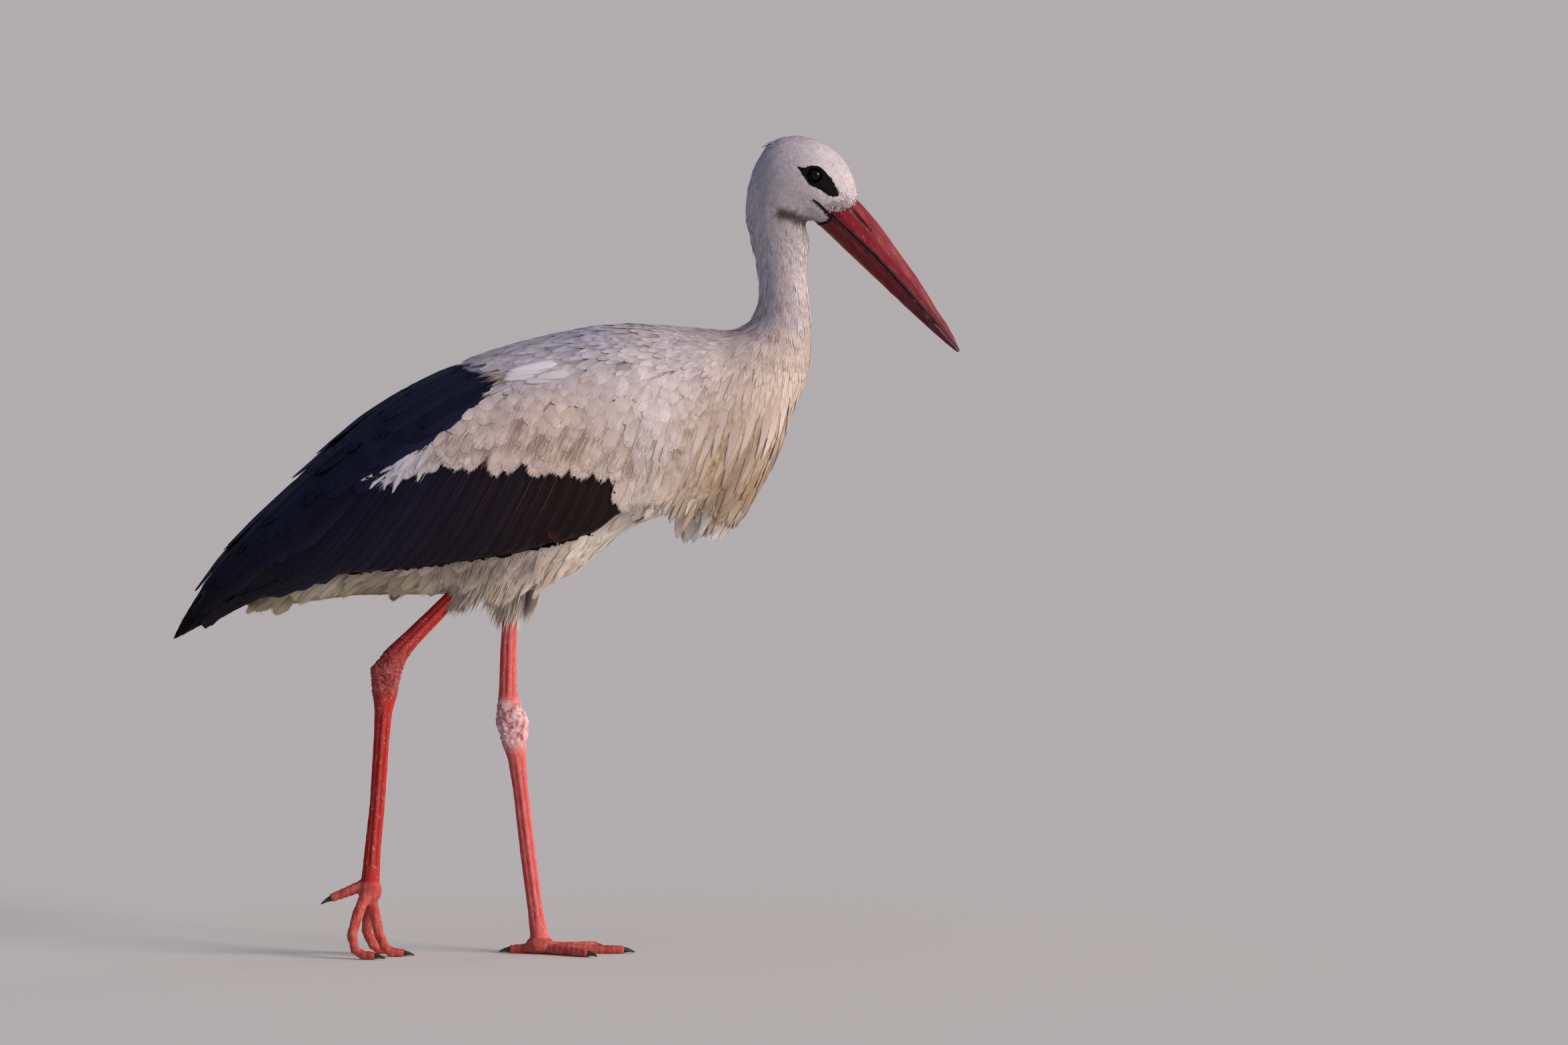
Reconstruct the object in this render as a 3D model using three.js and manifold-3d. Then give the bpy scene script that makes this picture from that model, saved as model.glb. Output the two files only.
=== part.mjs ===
// An adult white stork (Ciconia ciconia) in mid stride: a still, life-size model of the bird's outer form.
// Millimetres, +Z up. The bird faces +X, its right side is -Y, and its toes stand on Z = 0.
// Flesh and plumage are lofts through ribs, and thin cuts part them where a person would name a part.
import * as THREE from "three";
import { mergeVertices } from "three/addons/utils/BufferGeometryUtils.js";
import Module from "manifold-3d";

const wasm = await Module();
wasm.setup();

// ---- Driving dimensions ----
const GAP = 0.3; // clearance between neighbouring solids
const FAR = 900; // reach of a cutting solid, larger than the bird
const CENTRE_X = 0.6; // half way between wing tips and bill tip
const RIGHT = -1;
const LEFT = 1;
const SIDES = [[RIGHT, "right"], [LEFT, "left"]];

const EYE = { x: 241.3, y: 17.2, z: 758, radius: 8 };
const KNEE_Y = 31; // each knee's distance from the middle plane
const FOOT_Y = 15; // each foot's distance from the middle plane
const SOLE_PRESS = 0.7; // how much of each toe's underside is pressed flat on the ground
const TOE_LENGTH = { inner: 60, middle: 82, outer: 68, hallux: 30 };
const TOE_SPREAD = { inner: -37, middle: -1, outer: 37, hallux: 174 }; // degrees from straight ahead
const TOE_THICKNESS = { root: 12, tip: 9 };
const TOE_TIP_HEIGHT = TOE_THICKNESS.tip / 2 - SOLE_PRESS; // of the middle of a toe that lies on the ground
const CLAW_LENGTH = 10;

// A rib is [top x, top z, bottom x, bottom z, half width], one cross-section of a loft.
const HEAD_RIBS = [
  [284, 735, 249, 709, 14],
  [279, 756, 246.5, 710, 17.5],
  [267, 776, 244.5, 711, 21.5],
  [248, 790, 242, 712, 25],
  [224, 796, 238.5, 713, 27],
  [200, 790.5, 235, 713, 28],
  [182.5, 765, 233, 711, 27],
  [175.5, 737, 233.5, 706, 25],
];
const NECK_RIBS = [
  [175, 711, 236.5, 697, 24],
  [182, 686, 235.5, 676, 24],
  [187.5, 655, 235.5, 647, 23.5],
  [186.5, 628, 238, 622, 26],
];
const TRUNK_RIBS = [
  [175, 611.5, 239, 598, 33],
  [152, 606, 236, 568, 46],
  [128, 600, 222, 532, 58],
  [95, 599, 203, 492, 69],
  [56, 600, 176, 452, 76],
  [16, 594, 112, 432, 79],
  [-26, 584, 62, 414, 79],
  [-66, 569, 18, 376, 75],
  [-106, 546, -34, 353, 69],
];
const TAIL_RIBS = [
  [-148, 512, -88, 352, 61],
  [-192, 470, -146, 351, 52],
  [-236, 428, -204, 351, 41],
  [-274, 386, -258, 343, 29],
  [-299, 350, -297, 339, 13],
];
// The outer surface of the mantle and folded wings. Below the wings' edges it is cut away.
const COAT_RIBS = [
  [165, 606, 222, 560, 34],
  [137, 608.5, 186, 488, 64],
  [98, 612.3, 134, 424, 84],
  [45, 614, 76, 396, 94],
  [-8, 605, 24, 378, 97],
  [-66, 590, -34, 360, 96],
  [-122, 569, -96, 350, 91],
  [-178, 538, -158, 344, 81],
  [-232, 491, -214, 338, 68],
  [-284, 440, -268, 332, 52],
  [-332, 388, -314, 322, 34],
  [-366, 336, -356, 312, 17],
  [-382, 308, -379, 303, 5],
];
const BREAST_RIBS = [
  [196, 566, 234, 558, 34],
  [166, 532, 221.5, 527, 47],
  [140, 500, 212, 497, 54],
  [116, 472, 197, 466, 53],
  [100, 449, 183.5, 441, 46],
  [99, 428, 170, 421, 35],
  [116, 412, 150, 410, 20],
];
const BILL_RIBS = [
  [269, 749, 237, 716, 13.5],
  [283, 733.5, 252, 703, 13.5],
  [305, 708.5, 275, 681, 11.8],
  [324.5, 680.6, 299, 658.3, 9.6],
  [343.2, 654.8, 324, 634.6, 7.6],
  [358.7, 629, 343, 617, 5.6],
  [373, 607.5, 362.5, 599.5, 3.6],
  [382.4, 587, 379.6, 585.4, 1],
];
const MOUTH_LINE = [
  [225, 745],
  [254, 722.5],
  [298, 680.6],
  [324.5, 651.6],
  [348.4, 623.9],
  [390, 577],
];

// Edges of the folded wing from the side, as [x, z] points from front to rear.
const SHOULDER = [131, 535];
const WING_BEND = [63, 441]; // the foremost point of the flight feathers
const COVERT_PEAK = [-50, 563];
const MANTLE_REAR = [-98, 574];
const COVERT_TAIL = [-186, 462];
const TERTIAL_TAIL = [-352, 344];
const COVERT_TOP = [SHOULDER, [100, 557], [1, 550], COVERT_PEAK];
const COVERT_REAR = [COVERT_PEAK, [-97, 538], [-134, 502], [-176, 491], COVERT_TAIL];
const COVERT_EDGE = [WING_BEND, [48, 462], [-35, 473], [-97, 475], [-144, 479], COVERT_TAIL];
const WING_FRONT = [SHOULDER, [124, 504], [98, 470], WING_BEND];
const TERTIAL_EDGE = [COVERT_TAIL, [-240, 436], [-300, 392], TERTIAL_TAIL];
const FLIGHT_EDGE = [WING_BEND, [36, 420], [-15, 403], [-92, 390], [-176, 379], [-243, 372], [-290, 354]];
const RIGHT_TIP = [-345, 321];
const LEFT_TIP = [-385, 302]; // the left wing lies a little further back

// A limb station is [x, y, z, depth, width].
const RIGHT_THIGH = [
  [-6, -26, 452, 74, 60],
  [-36, -KNEE_Y, 412, 66, 52],
  [-70, -KNEE_Y, 378, 44, 34],
  [-98, -KNEE_Y + 1, 358, 20, 17],
];
const RIGHT_LEG = [
  [-78, -KNEE_Y, 377, 16, 12.5],
  [-103, -KNEE_Y + 2, 356.5, 14.5, 12],
  [-124, -28, 334.5, 16.5, 12.5],
  [-146.5, -26, 312, 18, 13.5],
  [-163.5, -25, 294, 22, 15.5],
  [-173, -24, 277, 31.5, 17.5],
  [-173.5, -23, 262, 26.5, 16],
  [-175.5, -22, 238, 18, 12.5],
  [-177.5, -21, 210, 16, 11],
  [-181.5, -18.5, 150, 15.6, 10.5],
  [-186, -16.5, 107, 16.5, 11],
  [-189, -FOOT_Y, 68, 19, 15],
];
const LEFT_THIGH = [
  [-4, 26, 452, 74, 60],
  [-28, KNEE_Y, 412, 68, 54],
  [-44, KNEE_Y, 374, 48, 38],
  [-52, KNEE_Y - 1, 342, 21, 18],
];
const LEFT_LEG = [
  [-49, KNEE_Y, 364, 16, 12.5],
  [-53.7, KNEE_Y - 2, 337, 14.5, 12],
  [-55.5, 27.5, 291, 17, 12.5],
  [-56, 26, 255, 18.5, 13.5],
  [-55, 25, 240, 24, 15.5],
  [-52, 24.5, 224, 33, 17.5],
  [-50, 24, 208, 27, 16],
  [-47.5, 23, 190, 18.5, 12.5],
  [-43.8, 21.5, 160, 15.6, 10.5],
  [-37, 18.5, 100, 15.8, 10.5],
  [-29.5, FOOT_Y + 1, 42, 15.4, 11],
  [-25, FOOT_Y, 13, 19, 15],
];

// The right foot is rolling off the ground: its toes come down from a raised joint and bend forward.
// Each point is [forward, outward, height] from the middle of the foot.
const LIFTED_TOES = {
  middle: [
    [1, 0, 62],
    [4, 0, 44],
    [8, 0.5, 24],
    [14, 1, 10],
    [20, 1, TOE_TIP_HEIGHT + 0.5],
    [33, 1, TOE_TIP_HEIGHT],
  ],
  outer: [
    [-3, 4, 62],
    [-11, 12, 44],
    [-17, 19, 23],
    [-14, 24, 9],
    [-6, 27, TOE_TIP_HEIGHT + 0.5],
    [6, 30, TOE_TIP_HEIGHT],
  ],
  inner: [
    [0, -4, 62],
    [-3, -13, 44],
    [-4, -20, 23],
    [2, -25, 9],
    [8, -27, TOE_TIP_HEIGHT + 0.5],
    [20, -30, TOE_TIP_HEIGHT],
  ],
  hallux: [
    [-6, 0, 70],
    [-20, 1, 64],
    [-38, 2, 57],
  ],
};
const PLANTED_TOES = Object.fromEntries(Object.keys(LIFTED_TOES).map((name) => [name, plantedToe(name)]));
const LEGS = {
  [RIGHT]: {
    thigh: RIGHT_THIGH,
    leg: RIGHT_LEG,
    hockCuts: [[[-166, 290], [35, 40]], [[-174, 256], [1, 18]]],
    toes: LIFTED_TOES,
    palm: { radii: [12, 11, 13], height: 64 },
  },
  [LEFT]: {
    thigh: LEFT_THIGH,
    leg: LEFT_LEG,
    hockCuts: [[[-55.5, 243], [-1, 20]], [[-49.5, 203], [-3, 20]]],
    toes: PLANTED_TOES,
    palm: { radii: [15, 13, 9], height: 9 - SOLE_PRESS },
  },
};

// ---- Colours and finishes ----
const finish = (color, roughness) => new THREE.MeshStandardMaterial({ color, roughness, metalness: 0 });
const WHITE_FEATHER = finish("#e9e1d6", 0.9);
const COVERT_FEATHER = finish("#efe6da", 0.85);
const BLACK_FEATHER = finish("#1d1c26", 0.5);
const BROWN_BLACK_FEATHER = finish("#2a2320", 0.55);
const RED_HORN = finish("#c2402c", 0.45);
const RED_SKIN = finish("#b9503f", 0.6);
const CLAW_HORN = finish("#3b2320", 0.5);
const EYE_DARK = finish("#0c0a09", 0.08);

// ---- Solids ----

// A manifold solid of a closed three.js geometry, with its faces pointing out.
function solid(geometry) {
  const bare = new THREE.BufferGeometry();
  bare.setAttribute("position", geometry.getAttribute("position"));
  bare.setIndex(geometry.index);
  const merged = mergeVertices(bare, 1e-4);
  const vertProperties = new Float32Array(merged.getAttribute("position").array);
  const triVerts = new Uint32Array(merged.index.array);
  const made = new wasm.Manifold(new wasm.Mesh({ numProp: 3, vertProperties, triVerts }));
  if (made.volume() > 0) return made;
  triVerts.reverse();
  return new wasm.Manifold(new wasm.Mesh({ numProp: 3, vertProperties, triVerts }));
}

// A closed loft through rings of equally many points, with a fan over each end.
function loft(rings) {
  const sides = rings[0].length;
  const points = rings.flat();
  const faces = [];
  for (let ring = 0; ring < rings.length - 1; ring++)
    for (let k = 0; k < sides; k++) {
      const a = ring * sides + k;
      const b = ring * sides + ((k + 1) % sides);
      faces.push(a, b, a + sides, b, b + sides, a + sides);
    }
  for (const [start, flip] of [[0, true], [points.length - sides, false]]) {
    const ring = points.slice(start, start + sides);
    const centre = ring.reduce((sum, p) => sum.add(p), new THREE.Vector3()).divideScalar(sides);
    const hub = points.push(centre) - 1;
    for (let k = 0; k < sides; k++) {
      const a = start + k;
      const b = start + ((k + 1) % sides);
      faces.push(...(flip ? [b, a, hub] : [a, b, hub]));
    }
  }
  return solid(new THREE.BufferGeometry().setFromPoints(points).setIndex(faces));
}

// Rings through ribs, each grown outward. Fullness above 1 squares an oval section's corners.
function ribRings(ribs, { perRib = 1.5, sides = 18, grow = 0, fullness = 1 } = {}) {
  const tops = new THREE.CatmullRomCurve3(ribs.map(([x, z, , , half]) => new THREE.Vector3(x, half, z)));
  const bottoms = new THREE.CatmullRomCurve3(ribs.map(([, , x, z]) => new THREE.Vector3(x, 0, z)));
  const steps = Math.round((ribs.length - 1) * perRib);
  return Array.from({ length: steps + 1 }, (_, step) => {
    const top = tops.getPoint(step / steps);
    const bottom = bottoms.getPoint(step / steps);
    const half = top.y + grow;
    const centre = new THREE.Vector3((top.x + bottom.x) / 2, 0, (top.z + bottom.z) / 2);
    const up = new THREE.Vector3(top.x - centre.x, 0, top.z - centre.z);
    up.setLength(up.length() + grow);
    return Array.from({ length: sides }, (_, k) => {
      const angle = (2 * Math.PI * k) / sides;
      const across = Math.sign(Math.cos(angle)) * Math.abs(Math.cos(angle)) ** (1 / fullness);
      return centre.clone().addScaledVector(up, Math.sin(angle)).add(new THREE.Vector3(0, half * across, 0));
    });
  });
}

const ribLoft = (ribs, options) => loft(ribRings(ribs, options));

// A bent limb through stations. Its width lies along `across`, its depth at right angles to that.
function limb(stations, { perStation = 1, sides = 10, grow = 0, across = new THREE.Vector3(0, 1, 0) } = {}) {
  const line = new THREE.CatmullRomCurve3(stations.map(([x, y, z]) => new THREE.Vector3(x, y, z)));
  const sizes = new THREE.CatmullRomCurve3(
    stations.map(([, , , depth, width], index) => new THREE.Vector3(depth / 2, width / 2, 10 * index)),
  );
  const steps = Math.round((stations.length - 1) * perStation);
  const rings = Array.from({ length: steps + 1 }, (_, step) => {
    const t = step / steps;
    const size = sizes.getPoint(t);
    const deep = new THREE.Vector3().crossVectors(across, line.getTangent(t)).normalize();
    const wide = new THREE.Vector3().crossVectors(line.getTangent(t), deep).normalize();
    return Array.from({ length: sides }, (_, k) => {
      const angle = (2 * Math.PI * k) / sides;
      const point = line.getPoint(t);
      point.addScaledVector(deep, (size.x + grow) * Math.sin(angle));
      return point.addScaledVector(wide, (size.y + grow) * Math.cos(angle));
    });
  });
  return loft(rings);
}

// A box reaching far from a point [x, z] along a direction [x, z], its face half the gap past the point.
function beyond([x, z], [wayX, wayZ]) {
  const way = new THREE.Vector3(wayX, 0, wayZ).normalize();
  const box = new THREE.BoxGeometry(FAR, FAR, FAR);
  box.applyQuaternion(new THREE.Quaternion().setFromUnitVectors(new THREE.Vector3(0, 0, 1), way));
  const shift = (FAR + GAP) / 2;
  return solid(box.translate(x + way.x * shift, 0, z + way.z * shift));
}

// The space on one side of the middle plane.
function sideSpace(side) {
  const box = new THREE.BoxGeometry(3 * FAR, FAR, 3 * FAR);
  return solid(box.translate(0, (side * (FAR + GAP)) / 2, 0));
}

// A prism across the bird over an outline of [x, z] points, its edges drawn in by half the gap.
function prism(outline) {
  const points = outline.map(([x, z]) => new THREE.Vector2(x, z));
  const quarter = (THREE.ShapeUtils.isClockWise(points) ? -1 : 1) * (Math.PI / 2);
  const origin = new THREE.Vector2();
  const inwards = points.map((point, index) =>
    points[(index + 1) % points.length].clone().sub(point).normalize().rotateAround(origin, quarter),
  );
  const inset = points.map((point, index) => {
    const mitre = inwards[index].clone().add(inwards.at(index - 1)).normalize();
    return point.clone().addScaledVector(mitre, GAP / 2 / Math.max(mitre.dot(inwards[index]), 0.2));
  });
  const geometry = new THREE.ExtrudeGeometry(new THREE.Shape(inset), { depth: FAR, bevelEnabled: false });
  return solid(geometry.rotateX(Math.PI / 2).translate(0, FAR / 2, 0));
}

// A smooth run through edge points, without its last point, so that runs can be chained.
function run(edge, steps = 5) {
  const curve = new THREE.SplineCurve(edge.map(([x, z]) => new THREE.Vector2(x, z)));
  return curve.getPoints(steps).slice(0, -1).map((point) => [point.x, point.y]);
}

// The largest body of a solid, without the crumbs that a cut leaves.
function largest(shape) {
  return shape.decompose().reduce((a, b) => (a.volume() > b.volume() ? a : b));
}

// ---- Body ----
const BODY_RIBS = [...HEAD_RIBS, ...NECK_RIBS, ...TRUNK_RIBS, ...TAIL_RIBS];
const bodyLoft = (grow) => ribLoft(BODY_RIBS, { grow });
const breastLoft = (grow) => ribLoft(BREAST_RIBS, { grow, sides: 16 });
const coatLoft = (grow) => ribLoft(COAT_RIBS, { grow, sides: 20, fullness: 1.15 });
const billLoft = (grow) => ribLoft(BILL_RIBS, { grow, sides: 12 });

const HEAD_CUT = [[205, 704], [15, 62]]; // a point and a direction
const NECK_CUT = [[207, 605], [13, 63]];
const TAIL_CUT = [[-70, 450], [-93, -46]];
const ABOVE_GROUND = beyond([0, -GAP / 2], [0, 1]);
const headOf = (shape, [at, way]) => shape.intersect(beyond(at, way));
const restOf = (shape, [at, [x, z]]) => shape.intersect(beyond(at, [-x, -z]));

function eyeball(side, grow) {
  const ball = new THREE.SphereGeometry(EYE.radius + grow, 12, 8);
  return solid(ball.rotateX(Math.PI / 2).translate(EYE.x, side * EYE.y, EYE.z));
}

// Head, neck, trunk and tail, parted from one loft, and the plumes that hang before the breast.
function bodyNodes() {
  const body = bodyLoft(0);
  const belowHead = restOf(body, HEAD_CUT);
  const belowNeck = restOf(belowHead, NECK_CUT);
  const head = headOf(body, HEAD_CUT).subtract(billLoft(GAP));
  return {
    head: [head.subtract(eyeball(RIGHT, GAP)).subtract(eyeball(LEFT, GAP)), WHITE_FEATHER],
    neck: [headOf(belowHead, NECK_CUT), WHITE_FEATHER],
    trunk: [restOf(belowNeck, TAIL_CUT), WHITE_FEATHER],
    tail: [headOf(belowNeck, TAIL_CUT), WHITE_FEATHER],
    breast_plumes: [breastLoft(0).subtract(bodyLoft(GAP)), WHITE_FEATHER],
    right_eye: [eyeball(RIGHT, 0), EYE_DARK],
    left_eye: [eyeball(LEFT, 0), EYE_DARK],
  };
}

// The bill's two halves, parted along the line of the mouth.
function billNodes() {
  const bill = billLoft(0);
  const mouth = [...run(MOUTH_LINE), MOUTH_LINE.at(-1)];
  const [rearX] = MOUTH_LINE[0];
  return {
    bill_upper: [bill.intersect(prism([...mouth, [FAR, 0], [FAR, FAR], [rearX, FAR]])), RED_HORN],
    bill_lower: [bill.intersect(prism([...mouth, [FAR, 0], [rearX, 0]])), RED_HORN],
  };
}

// The outer plumage: the mantle across the shoulders, and three tracts of each folded wing.
function coatNodes() {
  const underneath = [bodyLoft(GAP), breastLoft(GAP), limb(RIGHT_THIGH, { grow: GAP }), limb(LEFT_THIGH, { grow: GAP })];
  const shell = underneath.reduce((rest, shape) => rest.subtract(shape), coatLoft(0));
  const back = (edge) => run(edge.toReversed());
  const mantle = [...run(COVERT_TOP), COVERT_PEAK, MANTLE_REAR, [-112, FAR], [FAR, FAR], [FAR, 500]];
  const tertialTop = [TERTIAL_TAIL[0], FAR];
  const coverts = [...run(COVERT_TOP), ...run(COVERT_REAR), ...back(COVERT_EDGE), ...back(WING_FRONT)];
  const scapulars = [...run(COVERT_REAR), ...run(TERTIAL_EDGE), TERTIAL_TAIL, tertialTop, [-112, FAR], MANTLE_REAR];
  const flight = [...run(COVERT_EDGE), ...run(TERTIAL_EDGE), TERTIAL_TAIL];
  const tips = { [RIGHT]: [RIGHT_TIP], [LEFT]: [tertialTop, [-FAR, FAR], [-FAR, LEFT_TIP[1]], LEFT_TIP] };
  const nodes = { mantle: [shell.intersect(prism([...mantle, ...back(WING_FRONT)])), WHITE_FEATHER] };
  for (const [side, name] of SIDES) {
    const half = shell.intersect(sideSpace(side));
    const edge = [...tips[side], ...back(FLIGHT_EDGE)];
    nodes[`${name}_wing_coverts`] = [half.intersect(prism(coverts)), COVERT_FEATHER];
    nodes[`${name}_scapulars`] = [half.intersect(prism(scapulars)), BLACK_FEATHER];
    nodes[`${name}_flight_feathers`] = [half.intersect(prism([...flight, ...edge])), BROWN_BLACK_FEATHER];
  }
  return nodes;
}

// ---- Legs ----

// Toe paths from the middle of the foot: [forward, outward, height] points.
function plantedToe(name) {
  const angle = THREE.MathUtils.degToRad(TOE_SPREAD[name]);
  return [0, 0.35, 0.7, 1].map((t) => [
    TOE_LENGTH[name] * t * Math.cos(angle),
    TOE_LENGTH[name] * t * Math.sin(angle),
    TOE_TIP_HEIGHT + 2.6 * (1 - t) ** 2,
  ]);
}

function toeStations(side, [x, y], path) {
  return path.map(([forward, outward, height], index) => {
    const size = THREE.MathUtils.lerp(TOE_THICKNESS.root, TOE_THICKNESS.tip, index / (path.length - 1));
    return [x + forward, y + side * outward, height, size, size];
  });
}

// A claw that carries on from the end of a toe and curves down to its point.
function clawStations(toe) {
  const [before, end] = toe.slice(-2).map(([x, y, z]) => new THREE.Vector3(x, y, z));
  const way = end.clone().sub(before).normalize();
  return [-0.1, 0.5, 1].map((t) => {
    const point = end.clone().addScaledVector(way, CLAW_LENGTH * t);
    return [point.x, point.y, Math.max(point.z - 2 * t * t, 1.6), 6.4 - 5 * t, 5.6 - 4.4 * t];
  });
}

function legNodes(side, name) {
  const { thigh, leg, hockCuts, toes, palm } = LEGS[side];
  const foot = leg.at(-1);
  const palmSolid = (grow) => {
    const ball = new THREE.SphereGeometry(1, 10, 6).rotateX(Math.PI / 2);
    ball.scale(...palm.radii.map((radius) => radius + grow));
    return solid(ball.translate(foot[0], foot[1], palm.height));
  };
  const bare = limb(leg).subtract(limb(thigh, { grow: GAP })).subtract(bodyLoft(GAP));
  const shank = headOf(bare, hockCuts[0]);
  const belowShank = restOf(bare, hockCuts[0]);
  const nodes = {
    thigh: [limb(thigh).subtract(bodyLoft(GAP)), WHITE_FEATHER],
    shank: [shank, RED_SKIN],
    hock: [headOf(belowShank, hockCuts[1]), RED_SKIN],
    tarsus: [restOf(belowShank, hockCuts[1]).subtract(palmSolid(GAP)), RED_SKIN],
    foot: [palmSolid(0), RED_SKIN],
  };
  const middle = toeStations(side, foot, toes.middle);
  for (const [toe, path] of Object.entries(toes)) {
    const stations = toeStations(side, foot, path);
    const claw = clawStations(stations);
    let shape = limb(stations, { sides: 8 }).subtract(palmSolid(GAP));
    if (toe !== "middle") shape = shape.subtract(limb(middle, { sides: 8, grow: GAP })).subtract(limb(leg, { grow: GAP }));
    nodes[`${toe}_toe`] = [shape.subtract(limb(claw, { sides: 6, perStation: 1, grow: GAP })), RED_SKIN];
    nodes[`${toe}_claw`] = [limb(claw, { sides: 6, perStation: 1 }), CLAW_HORN];
  }
  return Object.fromEntries(
    Object.entries(nodes).map(([part, [shape, material]]) => [
      `${name}_${part}`,
      [shape.intersect(ABOVE_GROUND), material],
    ]),
  );
}

// ---- Assembly ----
const stork = new THREE.Group();
const parts = {
  ...bodyNodes(),
  ...billNodes(),
  ...coatNodes(),
  ...legNodes(RIGHT, "right"),
  ...legNodes(LEFT, "left"),
};
for (const [name, [shape, material]] of Object.entries(parts)) {
  const { vertProperties, triVerts } = largest(shape).getMesh();
  const geometry = new THREE.BufferGeometry();
  geometry.setAttribute("position", new THREE.BufferAttribute(vertProperties, 3));
  geometry.setIndex(new THREE.BufferAttribute(triVerts, 1));
  const mesh = new THREE.Mesh(geometry, material);
  mesh.name = name;
  mesh.position.x = -CENTRE_X;
  stork.add(mesh);
}

export default stork;
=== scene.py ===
"""The looks of a life-size white stork: skin under a coat of solid mesh feathers, bill, claws and eyes."""
import math

import bpy
import numpy as np
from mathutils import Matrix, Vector, noise
from mathutils.bvhtree import BVHTree


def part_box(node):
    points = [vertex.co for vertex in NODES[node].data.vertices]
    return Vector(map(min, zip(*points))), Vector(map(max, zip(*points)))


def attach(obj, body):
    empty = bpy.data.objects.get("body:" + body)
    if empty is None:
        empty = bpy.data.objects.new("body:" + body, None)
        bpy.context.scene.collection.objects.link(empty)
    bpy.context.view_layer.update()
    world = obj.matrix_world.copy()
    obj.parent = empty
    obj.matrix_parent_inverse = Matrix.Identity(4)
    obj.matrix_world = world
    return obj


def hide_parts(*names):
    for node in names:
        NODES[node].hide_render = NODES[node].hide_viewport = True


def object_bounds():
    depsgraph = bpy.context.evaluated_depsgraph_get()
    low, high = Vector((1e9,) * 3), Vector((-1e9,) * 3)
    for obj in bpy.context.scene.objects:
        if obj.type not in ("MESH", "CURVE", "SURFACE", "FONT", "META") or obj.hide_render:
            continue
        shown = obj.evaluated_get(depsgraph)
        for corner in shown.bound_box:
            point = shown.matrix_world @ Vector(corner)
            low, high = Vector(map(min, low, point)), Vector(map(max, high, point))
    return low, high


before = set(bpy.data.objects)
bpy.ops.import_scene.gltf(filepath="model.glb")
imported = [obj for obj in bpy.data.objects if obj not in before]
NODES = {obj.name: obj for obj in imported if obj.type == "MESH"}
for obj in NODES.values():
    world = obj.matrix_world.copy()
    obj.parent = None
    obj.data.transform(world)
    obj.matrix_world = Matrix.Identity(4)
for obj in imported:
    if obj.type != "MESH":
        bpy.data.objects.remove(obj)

cad_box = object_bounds()
MM = 0.001
SIDES = {"right": -1.0, "left": 1.0}
SIDEWAYS = 0.3  # how much of a distance across the bird counts when values are spread over it
BODY = "root"
PLUMAGE = [
    "head", "neck", "trunk", "tail", "breast_plumes", "mantle",
    "right_wing_coverts", "left_wing_coverts", "right_scapulars", "left_scapulars",
    "right_flight_feathers", "left_flight_feathers", "right_thigh", "left_thigh",
]
LEG_PARTS = ["shank", "hock", "tarsus", "foot", "middle_toe", "outer_toe", "inner_toe", "hallux_toe"]
LEGS = [f"{side}_{part}" for side in SIDES for part in LEG_PARTS]


# ---------------------------------------------------------------- small helpers

def spot(node, along, up, across=0.5):
    """A point in a CAD node's box, by its share of the box's length, height and width."""
    low, high = (np.array(c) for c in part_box(node))
    return low + (high - low) * np.array([along, across, up])


def x_at(node, along):
    return spot(node, along, 0)[0]


def z_at(node, up):
    return spot(node, 0, up)[2]


def unit(v):
    return v / np.maximum(np.linalg.norm(v, axis=-1, keepdims=True), 1e-12)


def dot(a, b):
    return (a * b).sum(-1, keepdims=True)


def smooth(x, low, high):
    t = np.clip((np.asarray(x, float) - low) / (high - low), 0, 1)
    return t * t * (3 - 2 * t)


def mix(a, b, t):
    return np.asarray(a, float) + (np.asarray(b, float) - np.asarray(a, float)) * t


def link(name, mesh):
    obj = bpy.data.objects.new(name, mesh)
    bpy.context.scene.collection.objects.link(obj)
    return obj


def new_mesh(name, verts, tris, smooth_faces=True):
    """A mesh from plain arrays of places and triangles."""
    mesh = bpy.data.meshes.new(name)
    verts = np.ascontiguousarray(verts, np.float32)
    tris = np.ascontiguousarray(tris, np.int32)
    mesh.vertices.add(len(verts))
    mesh.vertices.foreach_set("co", verts.ravel())
    mesh.loops.add(tris.size)
    mesh.loops.foreach_set("vertex_index", tris.ravel())
    mesh.polygons.add(len(tris))
    mesh.polygons.foreach_set("loop_start", np.arange(0, tris.size, 3, dtype=np.int32))
    mesh.polygons.foreach_set("use_smooth", np.full(len(tris), smooth_faces))
    mesh.update(calc_edges=True)
    return mesh


def paint(mesh, colours):
    """Gives each vertex its colour."""
    tint = mesh.attributes.new("Tint", "FLOAT_COLOR", "POINT")
    colours = np.c_[np.clip(colours, 0, 1), np.ones(len(colours))]
    tint.data.foreach_set("color", colours.astype(np.float32).ravel())


def wear(mesh, material, slot, *replaced):
    """Puts a finished mesh on the bird, in place of some CAD nodes."""
    mesh.materials.append(material)
    obj = link(mesh.name, mesh)
    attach(obj, BODY)
    if replaced:
        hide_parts(*replaced)
    print(f"{mesh.name}: {len(mesh.polygons)} triangles")


def web(index):
    """Two triangles for each square of a grid of vertex numbers."""
    a, b, c, d = index[:-1, :-1], index[:-1, 1:], index[1:, 1:], index[1:, :-1]
    return np.stack([a, b, c, a, c, d], -1).reshape(-1, 3)


def tube(rings, turns):
    """Triangles between closed rings of vertices."""
    index = np.arange(rings * turns).reshape(rings, turns)
    return web(np.c_[index, index[:, :1]])


def ripple(points, scale):
    """Smooth noise at each point, between -1 and 1."""
    flat = points.reshape(-1, 3).tolist()
    return np.array([noise.noise(Vector(p) * scale) for p in flat]).reshape(points.shape[:-1])


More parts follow.
